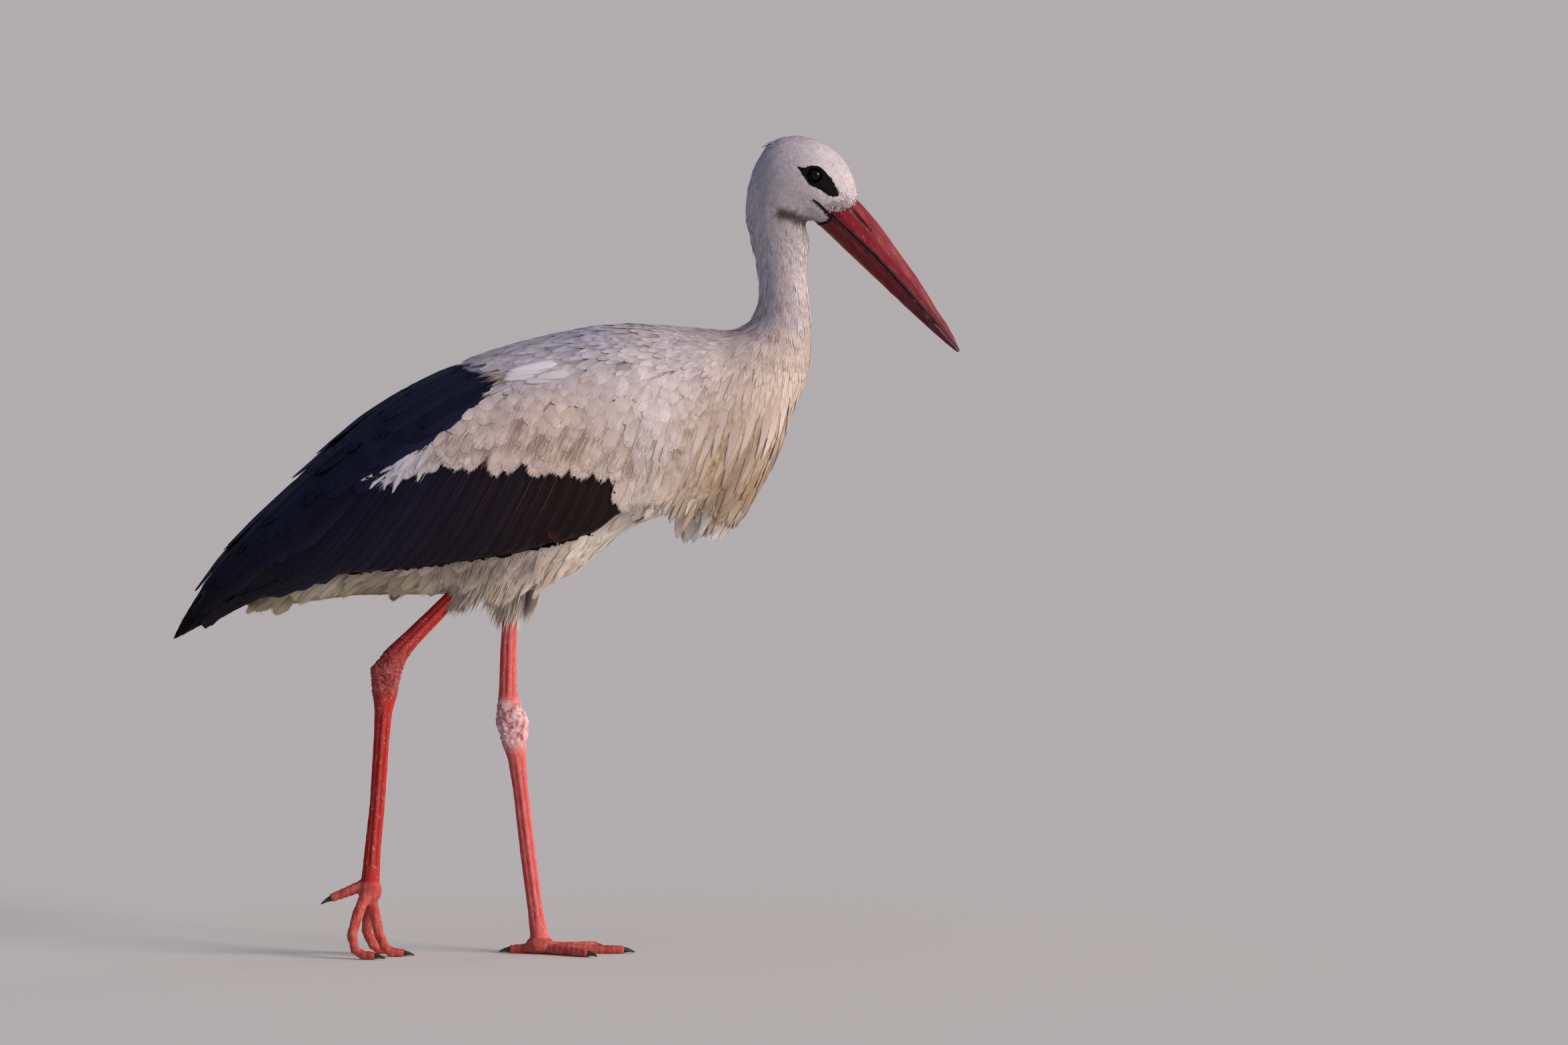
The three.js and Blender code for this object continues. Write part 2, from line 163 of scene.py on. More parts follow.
def solid_of(*names):
    """A tree of some CAD nodes' triangles, for finding the nearest place on them."""
    verts, tris, _ = together(names)
    return BVHTree.FromPolygons(verts.tolist(), tris.tolist())


def arrays(mesh):
    """Places, triangles and smooth normals of a mesh."""
    verts = np.empty(len(mesh.vertices) * 3, np.float32)
    mesh.vertices.foreach_get("co", verts)
    mesh.calc_loop_triangles()
    tris = np.empty(len(mesh.loop_triangles) * 3, np.int32)
    mesh.loop_triangles.foreach_get("vertices", tris)
    normals = np.empty(len(mesh.vertices) * 3, np.float32)
    mesh.vertex_normals.foreach_get("vector", normals)
    return verts.reshape(-1, 3).astype(float), tris.reshape(-1, 3), normals.reshape(-1, 3).astype(float)


def together(names):
    """The meshes of several CAD nodes as one set of arrays, and each triangle's node."""
    verts, tris, owner, count = [], [], [], 0
    for i, n in enumerate(names):
        v, t, _ = arrays(NODES[n].data)
        verts.append(v)
        tris.append(t + count)
        owner.append(np.full(len(t), i))
        count += len(v)
    return np.concatenate(verts), np.concatenate(tris), np.concatenate(owner)


def remeshed(verts, tris, size, rounds):
    """One closed smooth surface round some solids: a voxel remesh, then some smoothing."""
    obj = link("scratch", new_mesh("scratch", verts, tris))
    remesh = obj.modifiers.new("remesh", "REMESH")
    remesh.mode, remesh.voxel_size, remesh.use_smooth_shade = "VOXEL", size, True
    relax = obj.modifiers.new("relax", "SMOOTH")
    relax.factor, relax.iterations = 0.5, rounds
    mesh = bpy.data.meshes.new_from_object(obj.evaluated_get(bpy.context.evaluated_depsgraph_get()))
    source = obj.data
    bpy.data.objects.remove(obj)
    bpy.data.meshes.remove(source)
    found = arrays(mesh)
    bpy.data.meshes.remove(mesh)
    return found


class Surface:
    """A closed surface that points are brought onto, with smooth normals."""

    def __init__(self, verts, tris, normals):
        self.verts, self.tris, self.normals = verts, tris, normals
        self.tree = BVHTree.FromPolygons(verts.tolist(), tris.tolist())
        a, b, c = (verts[tris[:, i]] for i in range(3))
        self.area = np.linalg.norm(np.cross(b - a, c - a), axis=1) / 2
        self.centre = (a + b + c) / 3

    def weights(self, places, faces):
        a, b, c = (self.verts[self.tris[faces, i]] for i in range(3))
        n = np.cross(b - a, c - a)
        size = np.maximum((n * n).sum(-1), 1e-24)
        wa = (np.cross(b - places, c - places) * n).sum(-1) / size
        wb = (np.cross(c - places, a - places) * n).sum(-1) / size
        return np.clip(np.stack([wa, wb, 1 - wa - wb], -1), 0, 1)

    def nearest(self, points):
        shape = points.shape
        found = [self.tree.find_nearest(p) for p in points.reshape(-1, 3).tolist()]
        places = np.array([f[0] for f in found], float)
        faces = np.array([f[2] for f in found], int)
        w = self.weights(places, faces)
        normals = unit((self.normals[self.tris[faces]] * w[:, :, None]).sum(1))
        return places.reshape(shape), normals.reshape(shape), faces.reshape(shape[:-1])

    def depth(self, points, inward, most):
        """How thick the body is under each point."""
        out = []
        for p, d in zip((points + inward * 4e-4).tolist(), inward.tolist()):
            hit = self.tree.ray_cast(p, d, most)
            out.append(most if hit[3] is None else hit[3])
        return np.array(out)

    def node_at(self, points):
        """The name of the CAD node nearest each point."""
        return self.names[self.owner[[self.solid.find_nearest(p)[2] for p in points.tolist()]]]

    def hit(self, start, way, most):
        hit = self.tree.ray_cast(start, way, most)
        return None if hit[0] is None else np.array(hit[0])

    def scatter(self, rng, faces, radius, stretch=(1, 1, 1), tries=7):
        """Roots spread evenly over some faces, none closer than the radius there, stretched on each axis."""
        area = self.area[faces]
        mean = float((area * given(radius, self.centre[faces]) ** -2).sum()) / max(stretch)
        count = int(mean * tries)
        picked = faces[rng.choice(len(faces), count, p=area / area.sum())]
        r1, r2 = np.sqrt(rng.random(count)), rng.random(count)
        a, b, c = (self.verts[self.tris[picked, i]] for i in range(3))
        points = a * (1 - r1)[:, None] + b * (r1 * (1 - r2))[:, None] + c * (r1 * r2)[:, None]
        reach = given(radius, points)
        cell = float(reach.max())
        drawn = points / np.array(stretch, float)
        keys = np.floor(drawn / cell).astype(int)
        grid, kept = {}, []
        near = [(i, j, k) for i in (-1, 0, 1) for j in (-1, 0, 1) for k in (-1, 0, 1)]
        plist, rlist = drawn.tolist(), (reach ** 2).tolist()
        for n, key in enumerate(map(tuple, keys.tolist())):
            x, y, z = plist[n]
            limit = rlist[n]
            clear = True
            for i, j, k in near:
                for u, v, w in grid.get((key[0] + i, key[1] + j, key[2] + k), ()):
                    if (u - x) ** 2 + (v - y) ** 2 + (w - z) ** 2 < limit:
                        clear = False
                        break
                if not clear:
                    break
            if clear:
                grid.setdefault(key, []).append((x, y, z))
                kept.append(n)
        return points[kept]


class Field:
    """Values spread from seeds, the near ones counting most. Each seed is a place in a node's box, by its
    share of the length and of the height, and the values there. Distances to the side count for less."""

    def __init__(self, *seeds, soft=30 * MM):
        self.places = np.array([spot(*seed[:3]) for seed in seeds], float)
        self.values = np.array([seed[3:] for seed in seeds], float)
        self.soft = soft

    def __call__(self, points):
        flat = points.reshape(-1, 3)
        d = flat[:, None, :] - self.places[None]
        d[..., 1] *= SIDEWAYS
        w = 1 / ((d ** 2).sum(-1) + self.soft ** 2) ** 2
        w /= w.sum(1, keepdims=True)
        return (w @ self.values).reshape(*points.shape[:-1], self.values.shape[-1])


def of(node, *rows):
    """Seeds that lie in the same node."""
    return [(node, *row) for row in rows]


def lie(*seeds, soft=30 * MM):
    """A field of directions in the side view. Each seed says how far forward and up the coat points there."""
    field = Field(*((*seed[:4], 0.0, seed[4]) for seed in seeds), soft=soft)
    return lambda points: unit(field(points))


def graded(*seeds):
    """A size that changes over the bird."""
    field = Field(*seeds)
    return lambda points: field(points)[..., 0]


def given(value, points):
    """A value for each point, where one number may stand for them all."""
    return value(points) if callable(value) else np.full(len(points), float(value))


# ---------------------------------------------------------------- feathers, flat

class Form:
    """A feather or tuft laid flat: u runs along it, v across it, and lift, in half widths, stands off it."""

    def __init__(self):
        self.rows, self.tris = [], []

    def point(self, u, v, lift, shade, bone=0.0):
        self.rows.append((u, v, lift, shade, bone))
        return len(self.rows) - 1

    def done(self, bulge=0.0):
        rows = np.array(self.rows, float)
        self.u, self.v, self.lift, self.shade, self.bone = rows.T
        self.lift = self.lift + bulge * np.sin(math.pi * np.clip(self.u, 0, 1))
        self.tris = np.array(self.tris, int)
        a, b, c = (np.stack([self.u, self.v], 1)[self.tris[:, i]] for i in range(3))
        turned = np.cross(b - a, c - a) < 0
        self.tris[turned] = self.tris[turned][:, ::-1]
        return self


def half_width(u, point, widest):
    """Half the width of a feather along its shaft. point is 0 for a round end and 1 for a spear."""
    t = np.clip((u - widest) / (1 - widest), 0, 1)
    end = mix(np.sqrt(np.maximum(1 - t ** 2.6, 0)), (1 - t) ** 0.85, point)
    return np.minimum(np.maximum(u, 0) / 0.2, 1) ** 0.6 * end


def vane(rng, aspect, stations, columns, fringe, point=0.0, widest=0.5, camber=0.25, fray=0.3, fluff=0.1,
         shaft=None, splits=0, solid=0.86, barb=0.1, angle=32.0, bulge=0.0):
    """A feather with a cambered vane, a fringe of fine barb ends and, if asked for, a raised shaft."""
    form = Form()
    tone = rng.normal(0, 1, 64)
    us = 0.985 * np.sin(np.linspace(0, math.pi / 2, stations)) ** 0.9
    vs = np.linspace(-1, 1, columns)
    cut = {(int(rng.integers(stations // 3, stations - 1)),
            int(rng.choice([0, columns - 1]))): rng.uniform(0.3, 0.6) for _ in range(splits)}
    index = []
    for i, u in enumerate(us):
        w = float(half_width(u, point, widest)) * solid
        row = []
        for j, v in enumerate(vs):
            inside = 1 - cut.get((i, j), 0.0)
            edge = 1 + (0.05 * rng.normal() if abs(v) == 1 else 0)
            row.append(form.point(u + 0.02 * abs(v) * (1 - u), v * w * inside * edge, -camber * (v * w) ** 2,
                                  0.35 * tone[(i * 7 + j) % 64]))
        index.append(row)
    for i in range(stations - 1):
        for j in range(columns - 1):
            a, b, c, d = index[i][j], index[i + 1][j], index[i + 1][j + 1], index[i][j + 1]
            form.tris += [(a, b, c), (a, c, d)]
    for k in range(fringe):
        side = 1 if k % 2 else -1
        r = (k + rng.random()) / fringe
        along = 0.2 + (widest - 0.2) * r / 0.35 if r < 0.35 else \
            widest + (1 - widest) * math.sin(math.pi / 2 * (r - 0.35) / 0.65)
        w = float(half_width(min(along, 0.995), point, widest)) * solid
        lean = math.radians(angle) * w ** 0.5 * rng.uniform(0.6, 1.25) * (1 - 0.5 * point)
        way = np.array([math.cos(lean), side * math.sin(lean)])
        edge = np.array([min(along, 0.965) * aspect, side * w])
        start = edge - way * rng.uniform(0.45, 0.8)
        end = edge + way * fray * rng.uniform(0.25, 1.15) * (0.5 + 0.5 * along)
        across = np.array([-way[1], way[0]]) * barb * rng.uniform(0.7, 1.3)
        tone_here, up = rng.normal(), rng.normal(0.15, 0.6) * fluff
        base = -camber * w * w + 0.012
        places = [(start - across * 0.7, base), (start + across * 0.7, base), (end, base + up)]
        if fray >= 0.5:
            middle = mix(start, end, 0.62)
            places[2:2] = [(middle - across * 0.6, base + up * 0.3),
                           (middle + across * 0.6, base + up * 0.3)]
        n = [form.point(p[0] / aspect, p[1], lift, tone_here) for p, lift in places]
        form.tris += [(n[0], n[1], n[3]), (n[0], n[3], n[2]),
                      (n[2], n[3], n[4])] if fray >= 0.5 else [tuple(n)]
    if shaft:
        pairs = []
        for u in us:
            thin = shaft[1] * (1 - 0.75 * u)
            height = 0.05 - camber * shaft[0] ** 2
            pairs.append([form.point(u, shaft[0] + s * thin, height - 0.05 * (s != 0), 0.0, 1.0)
                          for s in (-1, 0, 1)])
        for a, b in zip(pairs[:-1], pairs[1:]):
            for j in range(2):
                form.tris += [(a[j], b[j], b[j + 1]), (a[j], b[j + 1], a[j + 1])]
    return form.done(bulge)


def tuft(rng, strands, width, spread=0.7, splay=0.5, cuts=3, fluff=0.3, short=0.6):
    """A lock of narrow strands that start together and end apart."""
    form = Form()
    for k in range(strands):
        v0 = spread * (2 * (k + rng.random()) / strands - 1)
        v1 = v0 + splay * rng.normal()
        u0, u1 = rng.uniform(0, 0.2), rng.uniform(short, 1.0)
        bend, up, tone = splay * 0.5 * rng.normal(), rng.normal(0.2, 0.7) * fluff, rng.normal()
        w = width * rng.uniform(0.7, 1.3)
        last = None
        for i in range(cuts):
            t = i / cuts
            u, v = mix(u0, u1, t), mix(v0, v1, t) + bend * math.sin(math.pi * t)
            thin = w * (1 - 0.55 * t)
            pair = [form.point(u, v - thin, up * t * t - 0.05, tone),
                    form.point(u, v + thin, up * t * t - 0.05, tone)]
            if last:
                form.tris += [(last[0], pair[0], pair[1]), (last[0], pair[1], last[1])]
            last = pair
        end = form.point(u1, v1, up, tone)
        form.tris.append((last[0], end, last[1]))
    return form.done()


def several(count, shape, rng, *size, **how):
    """Feathers or tufts of one kind, no two alike."""
    return [shape(rng, *size, **how) for _ in range(count)]


# ---------------------------------------------------------------- feathers, laid

STEADY = 0.7  # how much of its last direction a centre line keeps at each step
# A line leaves a surface that in one step turns by more than this cosine, or drops by this many steps.
TURN, JUMP = 0.45, 0.75
EDGE_TURN, EDGE_JUMP = 0.35, 0.7  # the same for a feather's edges, in half widths


def lay(surface, roots, flow, length, over, stations=6, steps=10, share=1.0, leave=0.8, stray=None,
        drop=False):
    """Centre lines that follow the lie of the coat over a surface. They end a little past its edge, or past
    the place where it turns from their way by the sine given as leave, or at a share of the way there. With
    drop, those rooted past that place leave the surface at once."""
    p, n, _ = surface.nearest(roots)
    size = (np.asarray(length, float) / steps)[:, None]
    lines, normals = [p], [n]
    way, past, edge = None, np.zeros(len(p), bool), np.full(len(p), np.inf)
    for k in range(steps):
        d = flow(p)
        turned = dot(d, n)
        off = turned[:, 0] > leave
        d = np.where(off[:, None] & (drop and way is None), d, unit(d - turned * n))
        if stray is not None:
            d = unit(d + np.cross(n, d) * stray[:, None])
        if way is not None:
            edge = np.where(off & ~past, k * size[:, 0], edge)
            past |= off
            d = np.where(past[:, None], way, unit(d + STEADY * way))
        q = p + d * size
        c, cn, _ = surface.nearest(q)
        lost = (dot(cn, n)[:, 0] < TURN) | (np.linalg.norm(c - q, axis=1) > JUMP * size[:, 0])
        edge = np.where(lost & ~past, (k + 0.3) * size[:, 0], edge)
        past |= lost
        p = np.where(past[:, None], q, c)
        n = np.where(past[:, None], n, unit(n + cn))
        way = d
        lines.append(p)
        normals.append(n)
    lines, normals = np.stack(lines, 1), np.stack(normals, 1)
    reach = np.minimum(length, edge * share + over)
    at = np.linspace(0, 1, stations)[None] * (reach / size[:, 0])[:, None]
    low = np.clip(np.floor(at).astype(int), 0, steps - 1)
    t = (at - low)[..., None]
    row = np.arange(len(p))[:, None]
    lines, normals = (mix(a[row, low], a[row, low + 1], t) for a in (lines, normals))
    return lines, unit(normals), reach


def across(surface, lines, normals, halves, follow):
    """Each centre line with its two edges beside it, brought onto the surface if the feather is wide."""
    along = np.gradient(lines, axis=1)
    side = unit(np.cross(normals, along))
    step = side * halves[:, None, None]
    places = np.stack([lines - step, lines, lines + step], 2)
    faced = np.stack([normals] * 3, 2)
    if follow:
        for column in (0, 2):
            q = places[:, :, column]
            c, cn, _ = surface.nearest(q)
            near = np.linalg.norm(c - q, axis=-1) < EDGE_JUMP * halves[:, None]
            good = (dot(cn, normals)[..., 0] > EDGE_TURN) & near
            places[:, :, column] = np.where(good[..., None], c, q)
            faced[:, :, column] = np.where(good[..., None], cn, normals)
    return places, faced, side


def along_weights(u, count):
    """How much each station of a line counts at each u, by a smooth curve through them."""
    x = np.clip(u, 0, 1.12) * (count - 1)
    i = np.clip(np.floor(x).astype(int), 0, count - 2)
    t = x - i
    out = np.zeros((len(u), count))
    rows = np.arange(len(u))
    for k, w in ((-1, -0.5 * t + t ** 2 - 0.5 * t ** 3), (0, 1 - 2.5 * t ** 2 + 1.5 * t ** 3),
                 (1, 0.5 * t + 2 * t ** 2 - 1.5 * t ** 3), (2, -0.5 * t ** 2 + 0.5 * t ** 3)):
        j = i + k
        inside = (j >= 0) & (j < count)
        np.add.at(out, (rows[inside], j[inside]), w[inside])
        before, after = j < 0, j >= count
        np.add.at(out, (rows[before], np.zeros(before.sum(), int)), 2 * w[before])
        np.add.at(out, (rows[before], np.ones(before.sum(), int)), -w[before])
        np.add.at(out, (rows[after], np.full(after.sum(), count - 1)), 2 * w[after])
        np.add.at(out, (rows[after], np.full(after.sum(), count - 2)), -w[after])
    return out


class Piece:
    """A piece of coat under way: feathers are added to it, and it becomes one mesh."""

    def __init__(self, name, material, slot, softness=0.6):
        self.name, self.material, self.slot, self.softness = name, material, slot, softness
        self.places, self.tris, self.tints, self.vanes, self.patches, self.roots = [], [], [], [], [], []
        self.normals, self.count = [], 0

    def add(self, rng, forms, places, faced, side, halves, sink, rise, colour, tip, mottle=0.06, tilt=0.0,
            tip_from=0.6, rise_power=0.75, shaft=None, shaft_fade=(2.0, 3.0), rim=0.0):
        """Puts one of the forms on every line. sink is the root's depth, and rise how high the tip stands.
        Each feather runs from its colour at the root to a brighter tip colour, and rim lightens its edges:
        painted shade where feathers overlap and painted highlights on their ends and edges.
        """
        count, stations = places.shape[:2]
        pick = rng.integers(0, len(forms), count)
        front = np.sign(side[:, stations // 2, 0] + 1e-9)
        sink, rise = np.broadcast_to(sink, count), np.broadcast_to(rise, count)
        shift = rng.random((count, 2))
        for f, form in enumerate(forms):
            for turn in (-1, 1):
                who = np.flatnonzero((pick == f) & (front == turn))
                if not len(who):
                    continue
                v = form.v * turn
                w = along_weights(form.u, stations)
                c = np.stack([v * (v - 1) / 2, 1 - v * v, v * (v + 1) / 2], 1)
                m = (w[:, :, None] * c[:, None, :]).reshape(len(v), -1)
                p = np.einsum("vk,nkc->nvc", m, places[who].reshape(len(who), -1, 3))
                n = unit(np.einsum("vk,nkc->nvc", m, faced[who].reshape(len(who), -1, 3)))
                up = -sink[who, None] + (sink + rise)[who,
                                                      None] * np.clip(form.u, 0, 1.1)[None] ** rise_power
                up = up + form.lift[None] * halves[who, None] + tilt * form.v[None]
                p = p + n * up[..., None]
                # Darker at the root, brighter at the tip and, by rim, at the edges: painted shade where
                # feathers overlap and painted highlights on their free ends and edges.
                edge = smooth(form.u, tip_from, 1.0)[None, :, None]
                bright = 1 + mottle * form.shade + rim * smooth(np.abs(form.v), 0.4, 0.9)
                tint = mix(colour[who, None], tip[who, None], edge) * bright[None, :, None]
                if shaft is not None:
                    bone = form.bone * (1 - smooth(form.u, *shaft_fade))
                    tint = mix(tint, np.broadcast_to(shaft, (count, 3))[who, None], bone[None, :, None])
                t = form.tris[:, ::-1] if turn < 0 else form.tris
                self.tris.append((t[None] + (np.arange(len(who)) * len(v))[:, None, None]).reshape(-1, 3)
                                 + self.count)
                self.places.append(p.reshape(-1, 3))
                self.normals.append(n.reshape(-1, 3))
                self.tints.append(tint.reshape(-1, 3))
                flat = np.stack([v * 0.5, form.u], 1)
                self.vanes.append((flat[None] + shift[who, None] * 7).reshape(-1, 2))
                self.patches.append(np.tile(np.stack([v * 0.0015, (form.u - 0.5) * 0.003], 1),
                                            (len(who), 1)))
                self.roots.append(np.repeat(places[who, 0, 1], len(v), 0))
                self.count += len(who) * len(v)

    def build(self, *replaced):
        tris = np.concatenate(self.tris)
        mesh = new_mesh(self.name, np.concatenate(self.places), tris)
        paint(mesh, np.concatenate(self.tints))
        corners = tris.ravel()
        for name, data in (("Vane", np.concatenate(self.vanes)),
                           ("OFBake", unwrapped(np.concatenate(self.roots)) + np.concatenate(self.patches))):
            layer = mesh.uv_layers.new(name=name)
            layer.data.foreach_set("uv", data[corners].astype(np.float32).ravel())
        mesh.uv_layers["Vane"].active_render = True
        own = np.empty(len(mesh.vertices) * 3, np.float32)
        mesh.vertex_normals.foreach_get("vector", own)
        soft = unit(mix(own.reshape(-1, 3), np.concatenate(self.normals), self.softness))
        mesh.normals_split_custom_set_from_vertices(soft.tolist())
        wear(mesh, self.material, self.slot, *replaced)


def unwrapped(points):
    """Where points fall when the skin is unrolled round the bird's middle line, from tail to bill."""
    nodes = np.array([spot("tail", 0, 0.3), spot("tail", 0.6, 0.6), spot("trunk", 0.5, 0.5),
                      spot("trunk", 0.9, 0.8), spot("neck", 0.6, 0.2), spot("head", 0.3, 0.3),
                      spot("head", 0.6, 0.6), spot("head", 1.1, 0.3)])
    nodes[:, 1] = 0
    best, along, angle, run = np.full(len(points), np.inf), np.zeros(len(points)), np.zeros(len(points)), 0.0
    for a, b in zip(nodes[:-1], nodes[1:]):
        way = b - a
        size = np.linalg.norm(way)
        t = np.clip((points - a) @ way / size ** 2, 0, 1)
        off = points - a - t[:, None] * way
        gap = np.linalg.norm(off, axis=1)
        up = np.array([-way[2], 0, way[0]]) / size
        nearer = gap < best
        best = np.where(nearer, gap, best)
        along = np.where(nearer, run + t * size, along)
        angle = np.where(nearer, np.arctan2(off[:, 1], off @ up), angle)
        run += size
    flat = np.stack([along, angle], 1)
    low, high = flat.min(0), flat.max(0)
    return 0.01 + 0.98 * (flat - low) / np.maximum(high - low, 1e-6)


# ---------------------------------------------------------------- materials

class Shader:
    """A material made of nodes, with short calls for the ones used here."""

    def __init__(self, name, **sockets):
        self.material = bpy.data.materials.new(name)
        self.material.use_nodes = True
        self.tree = self.material.node_tree
        self.bsdf = next(n for n in self.tree.nodes if n.type == "BSDF_PRINCIPLED")
        for socket, value in sockets.items():
            self.bsdf.inputs[socket.replace("_", " ")].default_value = value

    def node(self, kind, out=0, links=(), **settings):
        made = self.tree.nodes.new("ShaderNode" + kind)
        for key, value in settings.items():
            setattr(made, key, value)
        for socket, value in links:
            self.put(made.inputs[socket], value)
        return made.outputs[out]

    def put(self, socket, value):
        if isinstance(value, bpy.types.NodeSocket):
            self.tree.links.new(value, socket)
        elif hasattr(socket.default_value, "__len__") and not hasattr(value, "__len__"):
            socket.default_value = (value,) * len(socket.default_value)
        else:
            socket.default_value = value

    def place(self, x=1.0, y=1.0, z=1.0, uv=None):
        """Object coordinates, or a UV map's, stretched by a factor on each axis."""
        source = self.node("UVMap", uv_map=uv) if uv else self.node("TexCoord", "Object")
        return self.node("Mapping", links=[("Vector", source), ("Scale", (x, y, z))])

    def tint(self):
        return self.node("Attribute", "Color", attribute_name="Tint")

    def noise(self, scale, detail=3.0, at=None, rough=0.5, distort=0.0):
        return self.node("TexNoise", "Fac", [("Scale", scale), ("Detail", detail), ("Roughness", rough),
                                             ("Distortion", distort)] + ([("Vector", at)] if at else []))

    def cells(self, scale, at, feature="F1"):
        return self.node("TexVoronoi", "Distance", [("Scale", scale), ("Vector", at)], feature=feature)

    def ramp(self, value, low, high, start=0.0, end=1.0):
        return self.node("MapRange", links=[("Value", value), ("From Min", low), ("From Max", high),
                                            ("To Min", start), ("To Max", end)],
                         interpolation_type="SMOOTHSTEP")

    def maths(self, operation, a, b=0.0):
        return self.node("Math", links=[(0, a), (1, b)], operation=operation)

    def blend(self, a, b, share, kind="MIX"):
        made = self.tree.nodes.new("ShaderNodeMix")
        made.data_type, made.blend_type = "RGBA", kind
        for socket, value in ((0, share), (6, a), (7, b)):
            if not isinstance(value, bpy.types.NodeSocket) and hasattr(value, "__len__") and len(value) == 3:
                value = (*value, 1.0)
            self.put(made.inputs[socket], value)
        return made.outputs[2]

    def bump(self, height, distance, strength):
        return self.node("Bump", links=[("Height", height), ("Distance", distance), ("Strength", strength)])

    def finish(self, **values):
        """Sets or links the main sockets, and gives the material."""
        for socket, value in values.items():
            self.put(self.bsdf.inputs[socket.replace("_", " ")], value)
        return self.material


def feather_material(name, streaks, rough, sheen, specular, stain):
    """Barbs run as fine streaks slantwise from the shaft; stains and roughness vary over the bird."""
    s = Shader(name, Sheen_Weight=sheen, Sheen_Roughness=0.5, Specular_IOR_Level=specular)
    s.bsdf.inputs["Sheen Tint"].default_value = (1.0, 0.97, 0.95, 1.0)
    barbs = s.noise(1.0, 2.0, s.place(9.0, 34.0, 1.0, uv="Vane"), 0.6)
    broad = s.noise(70.0, 3.0)
    colour = s.blend(s.tint(), streaks, s.ramp(barbs, 0.35, 0.75, 0.0, 0.55), "MULTIPLY")
    colour = s.blend(colour, stain, s.ramp(broad, 0.5, 0.75, 0.0, 0.6), "MULTIPLY")
    roughness = s.ramp(barbs, 0.3, 0.7, rough - 0.08, rough + 0.08)
    return s.finish(Base_Color=colour, Roughness=roughness, Normal=s.bump(barbs, 0.0004, 0.35))


WHITE = feather_material("feather_white", (0.86, 0.82, 0.80), 0.85, 0.15, 0.2, (0.93, 0.86, 0.78))
BLACK = feather_material("feather_black", (0.45, 0.45, 0.6), 0.50, 0.0, 0.16, (0.9, 0.8, 0.85))


# ---------------------------------------------------------------- the outside of the coat

print("hull")


def outside(names, voxel=3 * MM, rounds=6):
    """The smooth outside of some nodes together, and the node that each of its faces is nearest."""
    v, t, owner = together(names)
    solid = BVHTree.FromPolygons(v.tolist(), t.tolist())
    surface = Surface(*remeshed(v, t, voxel, rounds))
    surface.solid, surface.names, surface.owner = solid, np.array(names), owner
    surface.region = surface.node_at(surface.centre)
    return surface


HULL = outside(PLUMAGE)
BODY_HULL = outside([n for n in PLUMAGE if not any(w in n
                                                   for w in ("wing", "scapulars", "flight", "mantle"))])
WING_HULL = outside([n for n in PLUMAGE if any(w in n for w in ("wing", "scapulars", "flight", "mantle"))],
                    2.5 * MM, 4)
FACE_HULL = outside(["head", "neck", "bill_upper", "bill_lower"], 1.3 * MM, 5)


def region(*names, surface=None):
    return np.isin((surface or HULL).region, names)


EYE = {side: sum(np.array(c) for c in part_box(f"{side}_eye")) / 2 for side in SIDES}
EYE_RADIUS = (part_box("left_eye")[1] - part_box("left_eye")[0])[0] / 2
# The bare black skin round an eye, back point first, in millimetres forward of and above the eye.
PATCH = np.array([(-17.2, 9.8), (-9.6, 6.8), (-5.8, 8.4), (-1.3, 9.2), (5.8, 8.2), (12.6, 1.4),
                  (19.6, -9.0), (24.6, -20.6), (15.6, -21.0), (8.4, -14.8), (1.2, -11.4), (-5.2, -8.2),
                  (-9.2, -1.6), (-12.0, 3.2)]) * MM
for _ in range(2):
    after = np.roll(PATCH, -1, 0)
    PATCH = np.stack([mix(PATCH, after, 0.22), mix(PATCH, after, 0.78)], 1).reshape(-1, 2)
# The bare bill seen from the side, as far as the feathers' edge, from the forehead down to the chin.
MARGIN = np.array([(46, -17), (42.6, -21.9), (37.5, -26.5), (33.5, -31.0), (28.5, -32.7), (24, -34.5),
                   (20, -33.0), (14.3, -33.2), (16.5, -37.5), (17.7, -42.4), (13.5, -46.5), (6.0, -46.6),
                   (-0.7, -46.0), (-2.0, -50.0), (20, -200), (200, -200), (200, 0)]) * MM
# The fold that runs back from the corner of the mouth.
GAPE = np.array([(-2.0, -23.0), (5.0, -28.5), (14.0, -38.0), (17.5, -41.5)]) * MM
# The end of the feathered cheek flap over the root of the lower bill.
FLAP = np.array([(17.5, -41.5), (15.0, -44.5), (10.5, -46.5), (5.0, -48.5), (-1.0, -47.5)]) * MM


def from_eye(points):
    """How far forward of and above the eye on its own side each point lies."""
    return np.stack([points[..., 0] - EYE["left"][0], points[..., 2] - EYE["left"][2]], -1)


def to_line(flat, line):
    """Distance from flat points to a broken line, and how far along it the nearest place is."""
    best, where = np.full(flat.shape[:-1], np.inf), np.zeros(flat.shape[:-1])
    for i, (a, b) in enumerate(zip(line[:-1], line[1:])):
        t = np.clip(((flat - a) @ (b - a)) / ((b - a) @ (b - a)), 0, 1)
        gap = np.linalg.norm(flat - a - t[..., None] * (b - a), axis=-1)
        where = np.where(gap < best, (i + t) / (len(line) - 1), where)
        best = np.minimum(best, gap)
    return best, where


def signed(points, outline):
    """Signed distance to a closed outline on the side of the face: negative inside it."""
    flat = from_eye(points)
    inside = np.zeros(flat.shape[:-1], bool)
    for a, b in zip(outline, np.roll(outline, -1, 0)):
        cross = (a[1] > flat[..., 1]) != (b[1] > flat[..., 1])
        at = a[0] + (b[0] - a[0]) * (flat[..., 1] - a[1]) / (b[1] - a[1] + 1e-12)
        inside ^= cross & (flat[..., 0] < at)
    gap, _ = to_line(flat, np.vstack([outline, outline[:1]]))
    return np.where(inside, -gap, gap)


def in_patch(points):
    return signed(points, PATCH)
